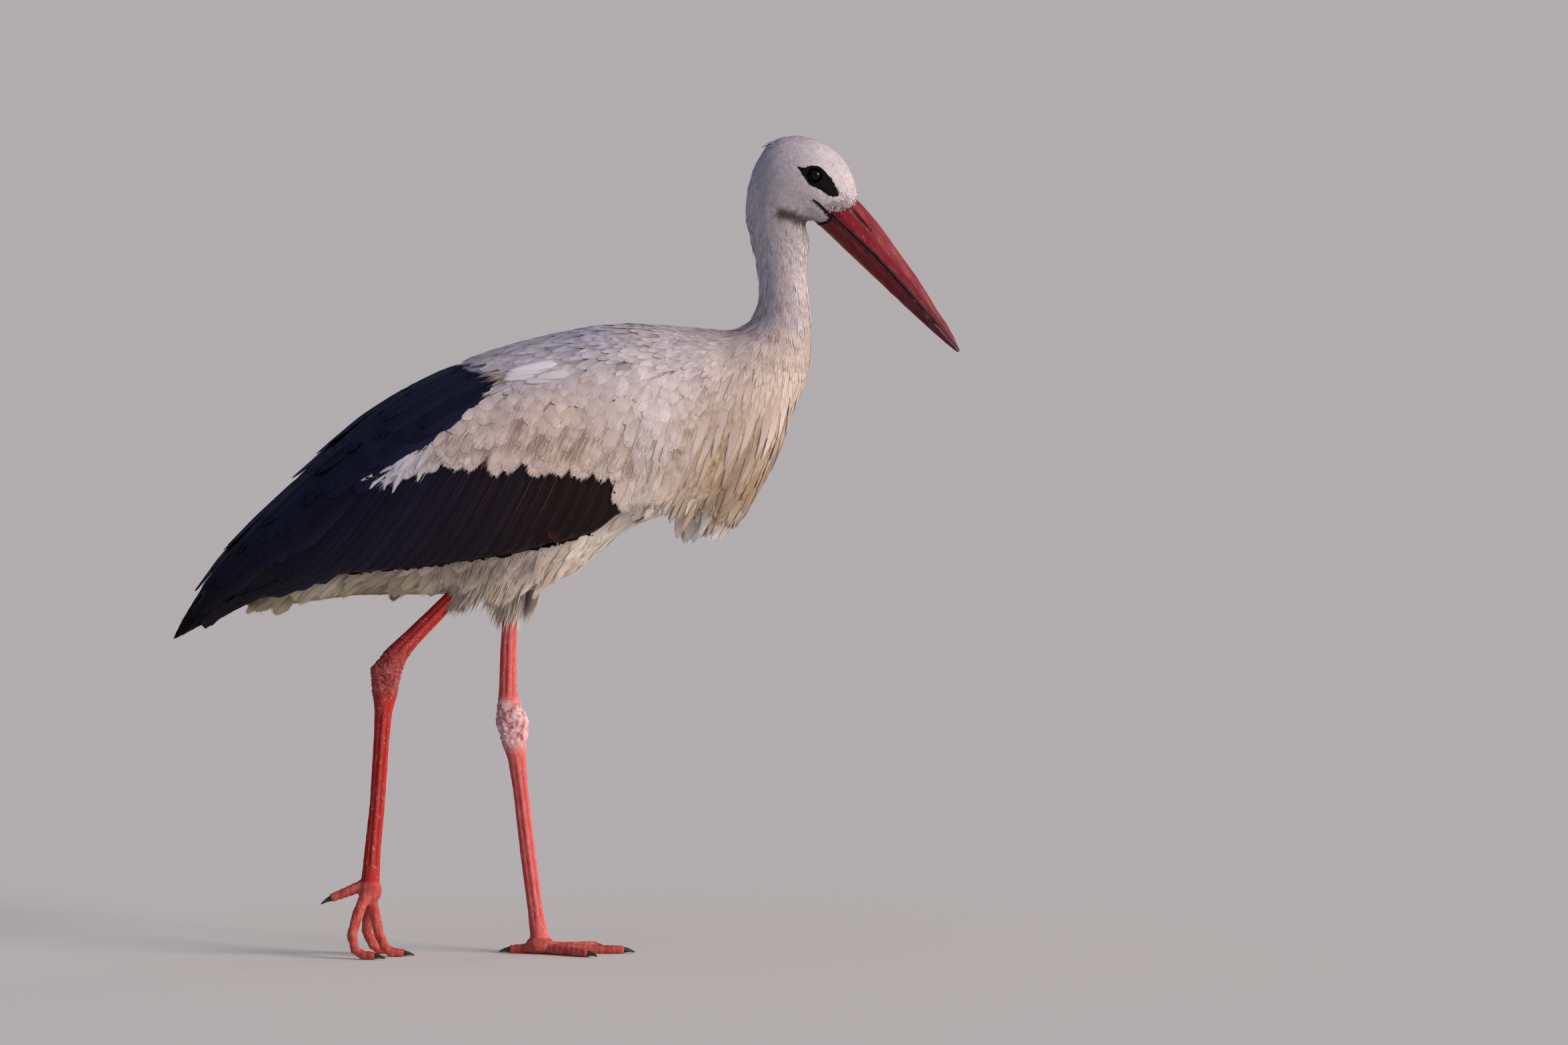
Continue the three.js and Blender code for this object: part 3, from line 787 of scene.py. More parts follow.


# ---------------------------------------------------------------- colours of the plumage

# The plumage's own white, cream and tan, with painted light mixed in. The cheek, crown, nape, side of the
# neck and mantle are darker and cooler as painted shade, and so are the breast and its low plumes, the rear
# belly, the underside of the tail and the right thigh. The belly just below the wing and the left thigh are
# brighter, as painted light.
PALE_WITH_PAINTED_SHADE = Field(
    *of("head", (0.45, 1.0, 0.66, 0.60, 0.68), (0.15, 0.9, 0.56, 0.54, 0.66),
        (0.80, 0.75, 0.88, 0.84, 0.88), (0.95, 0.55, 0.84, 0.78, 0.81), (0.45, 0.35, 0.36, 0.34, 0.39),
        (0.62, 0.18, 0.44, 0.40, 0.43), (0.35, 0.60, 0.46, 0.43, 0.49), (0.27, 0.50, 0.30, 0.28, 0.33),
        (0.0, 0.5, 0.84, 0.88, 0.98)),
    *of("neck", (0.0, 0.6, 0.70, 0.72, 0.90), (0.9, 0.6, 0.72, 0.65, 0.66), (0.5, 0.5, 0.44, 0.38, 0.42),
        (0.45, 0.9, 0.50, 0.46, 0.50)),
    *of("trunk", (0.95, 0.90, 0.66, 0.56, 0.50), (0.80, 0.90, 0.60, 0.50, 0.44),
        (0.97, 0.65, 0.41, 0.30, 0.22), (0.82, 0.70, 0.38, 0.28, 0.20), (0.80, 0.45, 0.42, 0.31, 0.20)),
    *of("breast_plumes", (0.4, 0.7, 0.36, 0.25, 0.16), (0.6, 0.45, 0.26, 0.175, 0.10),
        (0.3, 0.1, 0.50, 0.43, 0.37)),
    *of("mantle", (0.95, 0.9, 0.60, 0.56, 0.64), (0.5, 1.0, 0.54, 0.53, 0.67), (0.1, 0.8, 0.50, 0.47, 0.56),
        (0.3, 0.85, 0.64, 0.61, 0.70), (0.75, 0.6, 0.70, 0.66, 0.70)),
    *of("left_wing_coverts", (0.85, 0.9, 0.72, 0.66, 0.66), (0.55, 0.80, 0.70, 0.53, 0.42),
        (0.35, 0.80, 0.72, 0.59, 0.48), (0.62, 0.58, 0.62, 0.48, 0.38), (0.75, 0.55, 0.64, 0.52, 0.44),
        (0.90, 0.4, 0.52, 0.43, 0.37), (0.75, 0.12, 0.50, 0.43, 0.42), (0.5, 0.3, 0.66, 0.58, 0.56),
        (0.5, 0.05, 0.56, 0.51, 0.55), (0.1, 0.3, 0.82, 0.79, 0.86)),
    # The belly just below the wing is brightened as painted light, and the rear belly darkened as painted
    # shade.
    *of("trunk", (0.62, 0.28, 0.95, 0.90, 0.82), (0.50, 0.22, 0.95, 0.90, 0.82),
        (0.50, 0.05, 0.46, 0.37, 0.28), (0.60, 0.10, 0.60, 0.49, 0.38), (0.36, 0.08, 0.48, 0.39, 0.32),
        (0.15, 0.0, 0.34, 0.28, 0.18)),
    *of("tail", (0.6, 0.1, 0.22, 0.185, 0.10), (0.1, 0.0, 0.34, 0.30, 0.20)),
    # The left thigh is brightened as painted light where the body shades it, and the right thigh darkened as
    # painted shade.
    *of("left_thigh", (0.5, 0.6, 0.70, 0.60, 0.53), (0.5, 0.0, 0.86, 0.80, 0.84)),
    *of("right_thigh", (0.4, 0.4, 0.50, 0.41, 0.36)))
# The brown stain across the throat, darkened further as painted shadow where the cheek overhangs it, and the
# grey one along the lores.
THROAT = np.array([(-27, -32.5), (-20, -35), (-13, -39), (-6, -44)]) * MM
LORE = np.array([(15.5, -28.5), (22.0, -29.0), (28.0, -28.0), (33.0, -27.0)]) * MM


def stains_and_painted_shadow(points):
    """How the stains on the face, and the painted shadow where the cheek overhangs the throat, darken the
    pale plumage at each point.
    """
    gap, _ = to_line(from_eye(points), THROAT)
    soft = 1 + 0.35 * ripple(points, 260.0)
    share = (1 - smooth(gap * soft, 1.5 * MM, 8 * MM))[..., None] * 0.95
    lore, _ = to_line(from_eye(points), LORE)
    grey = (1 - smooth(lore * soft ** 2, 1.0 * MM, 5.5 * MM))[..., None] * 0.62
    return mix(1.0, (0.13, 0.085, 0.08), share) * mix(1.0, (0.28, 0.25, 0.27), grey)


def tones(rng, field, points, spread, bright=1.0):
    """A colour for each root: the field's, with patches over the body and each feather's own shade."""
    own = rng.normal(0, spread, len(points))
    return np.clip(field(points) * bright * (1 + 0.07 * ripple(points, 55.0) + own)[:, None], 0.002, 0.95)


def coat(piece, seed, faces, spacing, length, width, flow, forms, sink, rise, over, colour, tip,
         surface=None, keep=None, keep_tips=None, stations=5, steps=7, stretch=(1, 1, 1), leave=0.8,
         stray=0.0, drop=False, **how):
    """Sows roots over some faces of a surface and lays a feather from each."""
    rng = np.random.default_rng(seed)
    surface = surface or HULL
    roots = surface.scatter(rng, np.flatnonzero(faces), spacing, stretch)
    if keep is not None:
        roots = roots[keep(roots)]
    rough = rng.uniform(0.85, 1.15, (2, len(roots)))
    lines, normals, reach = lay(surface, roots, flow, given(length, roots) * rough[0], given(over, roots),
                                stations, steps, leave=leave, stray=rng.normal(0, stray, len(roots)),
                                drop=drop)
    if keep_tips is not None:
        good = keep_tips(lines).all(1)
        roots, lines, normals, reach = (a[good] for a in (roots, lines, normals, reach))
        rough = rough[:, good]
    halves = given(width, roots) / 2 * rough[1] * np.clip(reach / given(length, roots), 0.6, 1)
    places, faced, side = across(surface, lines, normals, halves, follow=float(halves.max()) > 3 * MM)
    piece.add(rng, forms, places, faced, side, halves, given(sink, roots), given(rise, roots),
              colour(rng, roots), tip(rng, roots), **how)


# ---------------------------------------------------------------- the way the coat lies

HEAD_WAY = lie(
    *of("head", (0.95, 0.60, -0.5, 0.85), (0.80, 0.90, -0.85, 0.5), (0.50, 1.00, -1.0, 0.0),
        (0.15, 0.85, -0.75, -0.65), (0.00, 0.50, -0.1, -1.0), (0.10, 0.10, 0.1, -1.0),
        (0.60, 0.75, -0.8, 0.55), (0.40, 0.55, -1.0, -0.1), (0.60, 0.30, -0.85, -0.45),
        (0.40, 0.10, -0.6, -0.75), (0.75, 0.15, -0.8, -0.4)),
    soft=0.015)
BODY_WAY = lie(
    *of("neck", (0.5, 0.9, 0.0, -1.0), (0.0, 0.5, 0.02, -1.0), (1.0, 0.4, 0.0, -1.0)),
    *of("trunk", (0.96, 0.95, 0.05, -1.0), (0.80, 0.97, -0.35, -0.9), (0.98, 0.70, -0.05, -1.0),
        (0.97, 0.50, -0.25, -0.95)),
    *of("breast_plumes", (0.9, 0.5, -0.4, -0.9), (0.2, 0.2, -0.5, -0.88)),
    *of("trunk", (0.82, 0.75, -0.4, -0.9), (0.75, 0.50, -0.5, -0.87), (0.60, 0.25, -0.66, -0.75),
        (0.42, 0.12, -0.50, -0.86), (0.20, 0.10, -0.72, -0.68), (0.05, 0.15, -0.86, -0.5)),
    *of("tail", (0.5, 0.4, -0.88, -0.48)),
    *of("mantle", (0.97, 0.95, -0.9, -0.3), (0.80, 1.00, -1.0, -0.05), (0.50, 1.00, -1.0, -0.1),
        (0.10, 0.85, -0.92, -0.38), (0.90, 0.50, -0.6, -0.8), (0.50, 0.60, -0.88, -0.45)))
PLUME_WAY = lie(
    *of("breast_plumes", (0.95, 0.95, -0.12, -1.0), (0.8, 0.4, -0.42, -0.9), (0.4, 0.9, -0.30, -0.95),
        (0.4, 0.2, -0.32, -0.95), (0.0, 0.8, -0.42, -0.9), (0.0, 0.2, -0.36, -0.93)))
WING_WAY = lie(
    *of("left_wing_coverts", (0.97, 0.85, -0.35, -0.93), (0.97, 0.40, -0.1, -1.0),
        (0.85, 0.10, -0.08, -1.0), (0.70, 0.95, -0.7, -0.7), (0.70, 0.60, -0.3, -0.95),
        (0.60, 0.15, -0.15, -0.98), (0.40, 0.95, -0.8, -0.6), (0.40, 0.55, -0.38, -0.92),
        (0.35, 0.20, -0.28, -0.95), (0.15, 0.45, -0.6, -0.8), (0.05, 0.10, -0.72, -0.7)))
FLIGHT_WAY = lie(
    *of("left_flight_feathers", (0.96, 0.90, -0.35, -0.94), (0.78, 0.65, -0.45, -0.9),
        (0.55, 0.50, -0.6, -0.8), (0.30, 0.40, -0.7, -0.71), (0.05, 0.10, -0.76, -0.65)))
BACK_WAY = lie(
    *of("left_scapulars", (0.95, 0.95, -0.86, -0.5), (0.60, 0.70, -0.79, -0.61), (0.30, 0.40, -0.76, -0.65),
        (0.05, 0.10, -0.75, -0.66)))


# ---------------------------------------------------------------- white coat

# Colours from the pale field, its painted shade and painted light included.
def pale(spread_of=0.05, bright=1.0):
    return lambda rng, points: tones(rng, PALE_WITH_PAINTED_SHADE, points, spread_of, bright)


def stained(spread_of=0.05, bright=1.0, share=0.10):
    """The pale colours, painted shade included, darkened by the face's stains and painted throat shadow, with
    a few feathers stained tan or rufous.
    """
    def at(rng, points):
        base = tones(rng, PALE_WITH_PAINTED_SHADE, points, spread_of, bright) * stains_and_painted_shadow(points)
        often = share(points) if callable(share) else share
        mark = (rng.random(len(points)) < often)[:, None] * rng.uniform(0.2, 0.7, (len(points), 1))
        return base * mix(1.0, (0.74, 0.56, 0.48), mark)
    return at


def nape_lift(surface, points, seed, share, most):
    """How far some feathers stand out along the back of the head and neck."""
    rng = np.random.default_rng(seed)
    rear = smooth(-surface.nearest(points)[1][:, 0], 0.3, 0.8)
    low = 1 - smooth(points[:, 2], z_at("head", 0.55), z_at("head", 0.85))
    return (rng.random(len(points)) < share) * rng.uniform(0.35, 1, len(points)) * most * rear * low


def head_coat():
    rng = np.random.default_rng(11)
    forms = several(8, tuft, rng, 5, 0.30, spread=0.85, splay=0.22, cuts=2, fluff=0.12, short=0.7)
    piece = Piece("head_feathers", WHITE, "white_feathers", 0.75)
    face = FACE_HULL

    def radius(p):
        near = np.linalg.norm(from_eye(p), axis=-1)
        return mix(1.0 * MM, 1.6 * MM, smooth(near, 14 * MM, 50 * MM))

    def keep(p):
        gape, _ = to_line(from_eye(p), GAPE)
        return (in_patch(p) > 0.5 * MM) & (gape > 1.3 * MM) & (signed(p, MARGIN) > 0)

    def long(p):
        near = np.linalg.norm(from_eye(p) - np.array([20, -20]) * MM, axis=-1)
        around = smooth(in_patch(p), 0, 8 * MM)
        return mix(4.4 * MM, 12 * MM, smooth(near, 6 * MM, 60 * MM) * mix(0.3, 1, around))

    faces = region("head", surface=face) | (region("bill_upper", "bill_lower", surface=face)
                                            & (signed(face.centre, MARGIN) > 0))
    coat(piece, 12, faces, radius, long, 2.7 * MM, HEAD_WAY, forms, lambda p: long(p) * 0.045,
         lambda p: long(p) * 0.025 + nape_lift(face, p, 14, 0.10, 1.8 * MM), 2 * MM, stained(0.04),
         stained(0.04, 1.05), surface=face, keep=keep, keep_tips=lambda lines: in_patch(lines) > 0.3 * MM,
         stations=4, steps=4, mottle=0.03)
    # Loose tufts at the back of the crown, and sparse bristles where the face meets the bill.
    rng = np.random.default_rng(13)
    crown = []
    for w in np.linspace(0.34, 0.66, 16):
        off = np.array([rng.normal(0, 3.5 * MM), 0, rng.normal(0, 2 * MM)])
        crown.append(spot("head", 0.22, 0.955, w) + off)
    crown = np.array(crown)
    lines, normals, _ = lay(face, crown, lie(("head", 0.1, 0.9, -0.97, 0.05)),
                            rng.uniform(0.007, 0.012, 16), 8 * MM, 4, 4, leave=0.1)
    places, faced, side = across(face, lines, normals, np.full(16, 1.9 * MM), False)
    piece.add(rng, forms, places, faced, side, np.full(16, 1.9 * MM), 0.2 * MM, rng.uniform(0.8, 2.4, 16)
              * MM, PALE_WITH_PAINTED_SHADE(crown), PALE_WITH_PAINTED_SHADE(crown))
    at = rng.uniform(0, 6, 420)
    edge = mix(MARGIN[1:9][at.astype(int)], MARGIN[1:9][at.astype(int) + 1], (at % 1)[:, None])
    edge = edge + rng.normal(0, 1.1 * MM, edge.shape) + np.array([0.4, 1.3]) * MM
    sign = rng.choice([-1.0, 1.0], len(edge))
    roots = np.array([face_point(e, g)[0] for e, g in zip(edge, sign)])
    lines, normals, _ = lay(face, roots, lie(("head", 0.9, 0.3, -0.2, -0.98),
                                             ("head", 0.9, 0.6, 0.3, -0.95)),
                            rng.uniform(1.6, 3.8, len(roots)) * MM, 2 * MM, 4, 4)
    places, faced, side = across(face, lines, normals, np.full(len(roots), 0.55 * MM), False)
    thin = several(6, tuft, rng, 2, 0.4, spread=0.5, splay=0.8, cuts=2, fluff=0.8, short=0.8)
    pick = rng.random(len(roots))[:, None]
    low = (edge[:, :1] < 36 * MM) & (edge[:, :1] > 10 * MM)
    black_or_red = np.where(pick < 0.82, [0.09, 0.06, 0.07], [0.28, 0.02, 0.03])
    shade = np.where(pick < mix(0.70, 0.30, low), [0.76, 0.68, 0.69], black_or_red)
    piece.add(rng, thin, places, faced, side, np.full(len(roots), 0.55 * MM), 0.1 * MM, 0.7 * MM, shade,
              shade)
    piece.build()


def neck_coat():
    rng = np.random.default_rng(21)
    forms = several(10, tuft, rng, 8, 0.31, spread=0.95, splay=0.24, cuts=3, fluff=0.06, short=0.6)
    piece = Piece("neck_feathers", WHITE, "white_feathers", 0.88)
    c = HULL.centre
    faces = region("neck") | (region("trunk", "mantle") & (c[:, 2] > z_at("trunk", 0.90))
                              & (c[:, 0] > x_at("trunk", 0.70)))
    top = z_at("head", 0)
    faces |= region("head") & (c[:, 2] < top + 18 * MM) & (c[:, 0] < x_at("head", 0.47))
    often = graded(("neck", 0.5, 1.0, 0.08), ("neck", 0.5, 0.55, 0.16), ("neck", 0.5, 0.0, 0.22))
    coat(piece, 22, faces, 2.4 * MM, graded(("neck", 0.5, 1.0, 0.014), ("neck", 0.5, 0.0, 0.025)),
         graded(("neck", 0.5, 1.0, 4.2 * MM), ("neck", 0.5, 0.4, 5.4 * MM)), BODY_WAY, forms, 0.35 * MM,
         lambda p: mix(0.2 * MM, 0.6 * MM, smooth(p[:, 2], z_at("neck", 0.75), z_at("neck", 1.0)))
         + nape_lift(HULL, p, 23, 0.20, 2.3 * MM) + 0.8 * MM
         * (np.random.default_rng(25).random(len(p)) < 0.05), 4 * MM, stained(0.05, share=often),
         stained(0.04, 1.05, share=often), mottle=0.045, stray=0.06,
         keep=lambda p: np.random.default_rng(24).random(len(p)) > smooth(p[:, 2], top, top + 18 * MM))
    piece.build()


def breast_coat():
    rng = np.random.default_rng(31)
    spears = several(8, vane, rng, 11, 9, 5, 110, point=0.70, widest=0.42, camber=0.12, fray=0.42,
                     fluff=0.05, barb=0.04, angle=16, solid=0.84)
    small = several(8, vane, rng, 8, 7, 5, 60, point=0.6, widest=0.42, camber=0.08, fray=0.42, fluff=0.03,
                    barb=0.045, angle=20, solid=0.84)
    piece = Piece("breast_feathers", WHITE, "white_feathers", 0.72)
    x, z = HULL.centre[:, 0], HULL.centre[:, 2]
    front = (region("trunk", "mantle") & (x > x_at("trunk", 0.66)) & (z > z_at("trunk", 0.22))
             & ~((z > z_at("trunk", 0.94)) & (x > x_at("trunk", 0.74))))
    long = graded(("trunk", 0.9, 0.97, 0.026), ("trunk", 0.98, 0.8, 0.036), ("trunk", 0.8, 0.8, 0.036),
                  ("trunk", 0.97, 0.55, 0.060), ("trunk", 0.75, 0.5, 0.052),
                  ("breast_plumes", 0.5, 0.5, 0.07))
    wide = graded(("trunk", 0.9, 0.97, 0.0075), ("trunk", 0.97, 0.8, 0.0100), ("trunk", 0.97, 0.5, 0.0130),
                  ("trunk", 0.75, 0.6, 0.0130), ("breast_plumes", 0.5, 0.3, 0.014))
    coat(piece, 32, front, lambda p: wide(p) * 0.37, long, wide, BODY_WAY, small, 0.8 * MM, 0.22 * MM,
         5 * MM, stained(0.07, 0.92, 0.35), pale(0.06, 1.15), tip_from=0.3, stretch=(1, 1, 2.4), rim=0.10,
         stray=0.07)
    # The long pointed plumes, in ranks from the lowest up, each hanging to a ragged hem below the breast.
    hang = region("breast_plumes")
    coat(piece, 33, hang, 8.0 * MM, 0.060, 0.014, PLUME_WAY, spears, 2.2 * MM, 0.2 * MM,
         10 * MM, stained(0.07, 0.88, 0.3), pale(0.06, 1.15), tip_from=0.45, stretch=(1, 1, 2.2), leave=0.35,
         stations=7, steps=10, rim=0.10)
    hem_x = [x_at("breast_plumes", a) for a in (-0.10, 0.18, 0.38, 0.60, 0.75, 1.0)]
    hem_z = [z_at("breast_plumes", a) for a in (0.20, 0.00, 0.00, 0.14, 0.34, 0.95)]
    rng = np.random.default_rng(36)
    # Each: how high up the plumes, where the rank starts and ends along them, and its spacing in millimetres.
    ranks = ((0.16, 0.02, 0.66, 9.5), (0.32, -0.06, 0.76, 9.0), (0.50, -0.09, 0.84, 9.0),
             (0.68, -0.05, 0.90, 9.0), (0.86, 0.05, 0.94, 9.0), (1.04, 0.12, 0.98, 9.0))
    for n, (up, first, last, gap) in enumerate(ranks):
        for sign in SIDES.values():
            x = np.arange(x_at("breast_plumes", first), x_at("breast_plumes", last), gap * MM)
            x = x + rng.normal(0, 2.0 * MM, len(x)) + (n % 2) * gap / 2 * MM
            z = z_at("breast_plumes", up) + rng.normal(0, 4 * MM, len(x))
            roots, kept = on_side(sign, x, z, HULL)
            lean = -PLUME_WAY(roots)[:, 0] * 60 * MM
            length = roots[:, 2] - np.interp(roots[:, 0] - lean, hem_x,
                                             hem_z) + rng.uniform(-16, 12, len(kept)) * MM
            length = length.clip(34 * MM, 92 * MM)
            width = 0.0150 * rng.uniform(0.85, 1.15, len(kept))
            rise = (0.3 + 0.12 * n) * MM + rng.uniform(0, 0.5, len(kept)) * MM
            colour, tip = stained(0.08, 0.88, 0.35)(rng, roots), pale(0.07, 1.15)(rng, roots)
            fore = smooth(roots[:, :1], x_at("breast_plumes", 0.05), x_at("breast_plumes", 0.22))
            tip = tip * mix(1, (1.25, 1.45, 1.7), (n < 2) * fore)
            row(piece, rng, spears, roots, PLUME_WAY, length, width, 70 * MM, 1.2 * MM, rise, 0.15 * MM,
                colour, tip, tip_from=0.25, stations=7, steps=12, leave=0.42, surface=HULL, rim=0.12,
                stray=0.05)
    piece.build()


def mantle_coat():
    rng = np.random.default_rng(41)
    forms = several(8, vane, rng, 4.6, 6, 5, 90, point=0.35, widest=0.5, camber=0.10, fray=0.45, fluff=0.05,
                    barb=0.035, bulge=0.03, solid=0.80)
    piece = Piece("mantle_feathers", WHITE, "white_feathers", 0.7)
    long = graded(("mantle", 1.0, 0.9, 0.022), ("mantle", 0.6, 1.0, 0.024), ("mantle", 0.0, 0.8, 0.040),
                  ("mantle", 0.6, 0.5, 0.026), ("mantle", 0.3, 0.9, 0.030))
    c = HULL.centre
    faces = region("mantle") & ~((c[:, 2] > z_at("trunk", 0.92)) & (c[:, 0] > x_at("trunk", 0.72)))

    def off_the_black(lines):
        end = HULL.node_at(mix(lines[:, -1], lines[:, 0], 0.08))
        return ~np.char.endswith(end, "scapulars")[:, None]

    coat(piece, 42, faces, 4.9 * MM, long, lambda p: 0.2 * MM + long(p) * 0.40, BODY_WAY, forms, 0.7 * MM,
         0.25 * MM, 3 * MM, stained(0.17, 0.80, 0.15), pale(0.14, 1.20), tip_from=0.4, mottle=0.05,
         stretch=(1.5, 1, 1), rim=0.08, stray=0.14, keep_tips=off_the_black)
    piece.build()


def edge_of(node, lowest):
    """How low, or how high, a node's side reaches at each place along the bird."""
    v, t, _ = arrays(NODES[node].data)
    a, b, c = (v[t[:, i]] for i in range(3))
    w = [(i / 12, j / 12) for i in range(13) for j in range(13 - i)]
    points = np.concatenate([a * i + b * j + c * (1 - i - j) for i, j in w])
    bins = np.linspace(points[:, 0].min(), points[:, 0].max(), 40)
    place = np.digitize(points[:, 0], bins) - 1
    best = np.array([(points[place == k, 2].min() if lowest else points[place == k, 2].max())
                     if (place == k).any() else np.nan for k in range(len(bins))])
    good = ~np.isnan(best)
    return lambda x: np.interp(x, bins[good] + (bins[1] - bins[0]) / 2, best[good])


def on_side(sign, x, z, surface=None):
    """The places on the wing's outside, or another surface's, at some distance along and some height."""
    hits = [(surface or WING_HULL).hit((a, sign * 0.4, b), (0, -sign, 0), 0.4) for a, b in zip(x, z)]
    found = [i for i, h in enumerate(hits) if h is not None and h[1] * sign > 0]
    return np.array([hits[i] for i in found]).reshape(-1, 3), np.array(found, int)


def row(piece, rng, forms, roots, way, length, width, over, sink, rise, tilt, colour, tip, share=1.0,
        stations=9, steps=20, leave=0.8, surface=None, stray=0.0, drop=False, **how):
    """A row of feathers, each laid over the one before it."""
    if not len(roots):
        return
    surface = surface or WING_HULL
    colour, tip = (c(rng, roots) if callable(c) else c for c in (colour, tip))
    lines, normals, reach = lay(surface, roots, way, length, over, stations, steps, share=share, leave=leave,
                                stray=rng.normal(0, stray, len(roots)), drop=drop)
    halves = width / 2 * np.clip(reach / length, 0.7, 1)
    places, faced, side = across(surface, lines, normals, halves, follow=True)
    piece.add(rng, forms, places, faced, side, halves, sink, rise, colour, tip, tilt=tilt, **how)


def covert_coat(side):
    sign = SIDES[side]
    rng = np.random.default_rng(51)
    puffs = several(8, vane, rng, 2.8, 8, 5, 150, point=0.0, widest=0.52, camber=0.18, fray=0.22,
                    fluff=0.04, barb=0.035, bulge=0.12, solid=0.88, angle=22)
    middle = several(8, vane, rng, 4.4, 8, 5, 160, point=0.06, widest=0.56, camber=0.12, fray=0.28,
                     fluff=0.05, barb=0.030, bulge=0.06, solid=0.88, angle=22)
    large = several(8, vane, rng, 6.5, 10, 5, 150, point=0.16, widest=0.58, camber=0.09, fray=0.55,
                    fluff=0.10, barb=0.028, angle=20, solid=0.84, splits=2)
    node = f"{side}_wing_coverts"
    piece = Piece(f"{side}_covert_feathers", WHITE, "white_feathers", 0.80)
    top, bottom = edge_of(node, False), edge_of(node, True)
    start, end = x_at(node, 0.985), x_at(node, 0.03)
    under = several(5, vane, rng, 2.5, 5, 3, 18, point=0.0, widest=0.55, camber=0.1, fray=0.22, fluff=0.05,
                    barb=0.08)
    coat(piece, 54, outer(node), 6.5 * MM, 0.020, 0.014, WING_WAY, under, 1.4 * MM, -0.6 * MM,
         3 * MM, stained(0.06, 0.95), pale(0.06, 1.05), surface=WING_HULL,
         keep=lambda p: (p[:, 2] > bottom(p[:, 0]) + 30 * MM) & (p[:, 2] < top(p[:, 0]) - 5 * MM))
    # Rows from the lowest up: share of the height down from the top edge, how far back the row runs, length,
    # width, spacing, form, and for the two rows of greater coverts how far they hang over the black.
    rows = (
        (0.56, 0.98, 0.0, 0.0175, 0.0105, large, -7 * MM), (0.46, 0.95, 0.0, 0.0190, 0.0112, large, -3 * MM),
        (0.34, 0.84, 0.034, 0.0170, 0.0098, middle, None), (0.22, 0.80, 0.030, 0.0165, 0.0104, middle, None),
        (0.14, 0.77, 0.025, 0.0158, 0.0096, puffs, None), (0.06, 0.74, 0.023, 0.0158, 0.0096, puffs, None),
        (-0.02, 0.60, 0.022, 0.0155, 0.0096, puffs, None), (-0.10, 0.56, 0.021, 0.0150, 0.0096, puffs, None),
        (-0.18, 0.53, 0.021, 0.0150, 0.0100, puffs, None))
    for n, (h, back, long, wide, gap, forms, hang) in enumerate(rows):
        last = mix(start, end, back)
        count = int(abs(last - start) / gap)
        x = start + (last - start) * (np.arange(count) + 0.5 * (n % 2) + rng.normal(0, 0.32, count)) / count
        high = top(x) - bottom(x)
        z = top(x) - high * (h + rng.normal(0, 0.030 if hang else 0.050, count))
        z = np.where(x < x_at("mantle", 0.27), np.minimum(z, top(x) - 8 * MM), z)
        roots, kept = on_side(sign, x, z)
        fall = np.maximum(-WING_WAY(roots)[:, 2], 0.45)
        back_x = roots[:, 0] - (roots[:, 2] - bottom(roots[:, 0])) * 0.5
        if hang is None:
            grow = np.clip(high[kept] / 0.080, 0.55, 1.15)
            length = long * grow * rng.uniform(0.85, 1.2, len(kept))
        else:
            grow = np.ones(len(kept))
            front = 13 * MM * smooth(back_x, 22 * MM, 48 * MM)
            uneven = 4 * MM * rng.uniform(-1, 1, len(kept))
            length = (roots[:, 2] - bottom(back_x) + hang + front + uneven).clip(0.018) / fall
        lift = rng.normal(0, 0.2, len(kept)).clip(-0.25, 0.5) * MM
        # About one feather in seven gets a brighter tip: a painted highlight.
        painted_tip_highlight = np.where(rng.random(len(kept)) < 0.14, 1.28, 1.0)[:, None]
        width = wide * np.clip(grow, 0.75, 1.05) * rng.uniform(0.78, 1.22, len(kept))
        colour = stained(0.07, 0.92, 0.25)(rng, roots) * np.array([1.0, 0.97, 0.94])
        tip = pale(0.07, 1.13)(rng, roots) * painted_tip_highlight
        row(piece, rng, forms, roots, WING_WAY, length, width, 12 * MM, 0.9 * MM, 0.35 * MM + lift,
            0.15 * MM, colour, tip, tip_from=0.15, stations=7, steps=12, rim=0.05, stray=0.10)
    # Long thin streaks over the greater coverts, each a lock of hair-like barbs.
    streaks = several(6, tuft, rng, 11, 0.045, spread=0.95, splay=0.18, cuts=4, fluff=0.10, short=0.55)
    for n, (h, long) in enumerate(((0.58, 0.026), (0.47, 0.032), (0.36, 0.034))):
        x = np.arange(mix(start, end, 0.93), start, 6.5 * MM)
        x = x + rng.normal(0, 2.5 * MM, len(x))
        roots, kept = on_side(sign, x, top(x) - (top(x) - bottom(x)) * (h + rng.normal(0, 0.05, len(x))))
        tone = np.where(rng.random((len(kept), 1)) < 0.35, np.array([0.80, 0.72, 0.66]),
                        np.array([1.12, 1.10, 1.12]))
        length = long * rng.uniform(0.7, 1.2, len(kept))
        colour, tip = (pale(0.05, bright)(rng, roots) * tone for bright in (0.95, 1.15))
        row(piece, rng, streaks, roots, WING_WAY, length, 0.013, 4 * MM, 0.2 * MM, 0.9 * MM + 0.2 * n * MM,
            0.0, colour, tip, stations=6, steps=9, stray=0.10)
    # Feathers that hang over the front end of the black.
    x = np.linspace(x_at(node, 0.775), x_at(node, 0.855), 9)
    roots, kept = on_side(sign, x, z_at(node, 0.24) + rng.normal(0, 4 * MM, 9), HULL)
    row(piece, rng, large, roots, WING_WAY, rng.uniform(0.030, 0.038, len(kept)), 0.015, 20 * MM, 0.6 * MM,
        1.4 * MM, 0.2 * MM, stained(0.06, 0.95, 0.2), pale(0.06, 1.15), tip_from=0.2, stations=7, steps=10,
        surface=HULL, rim=0.05, stray=0.08)
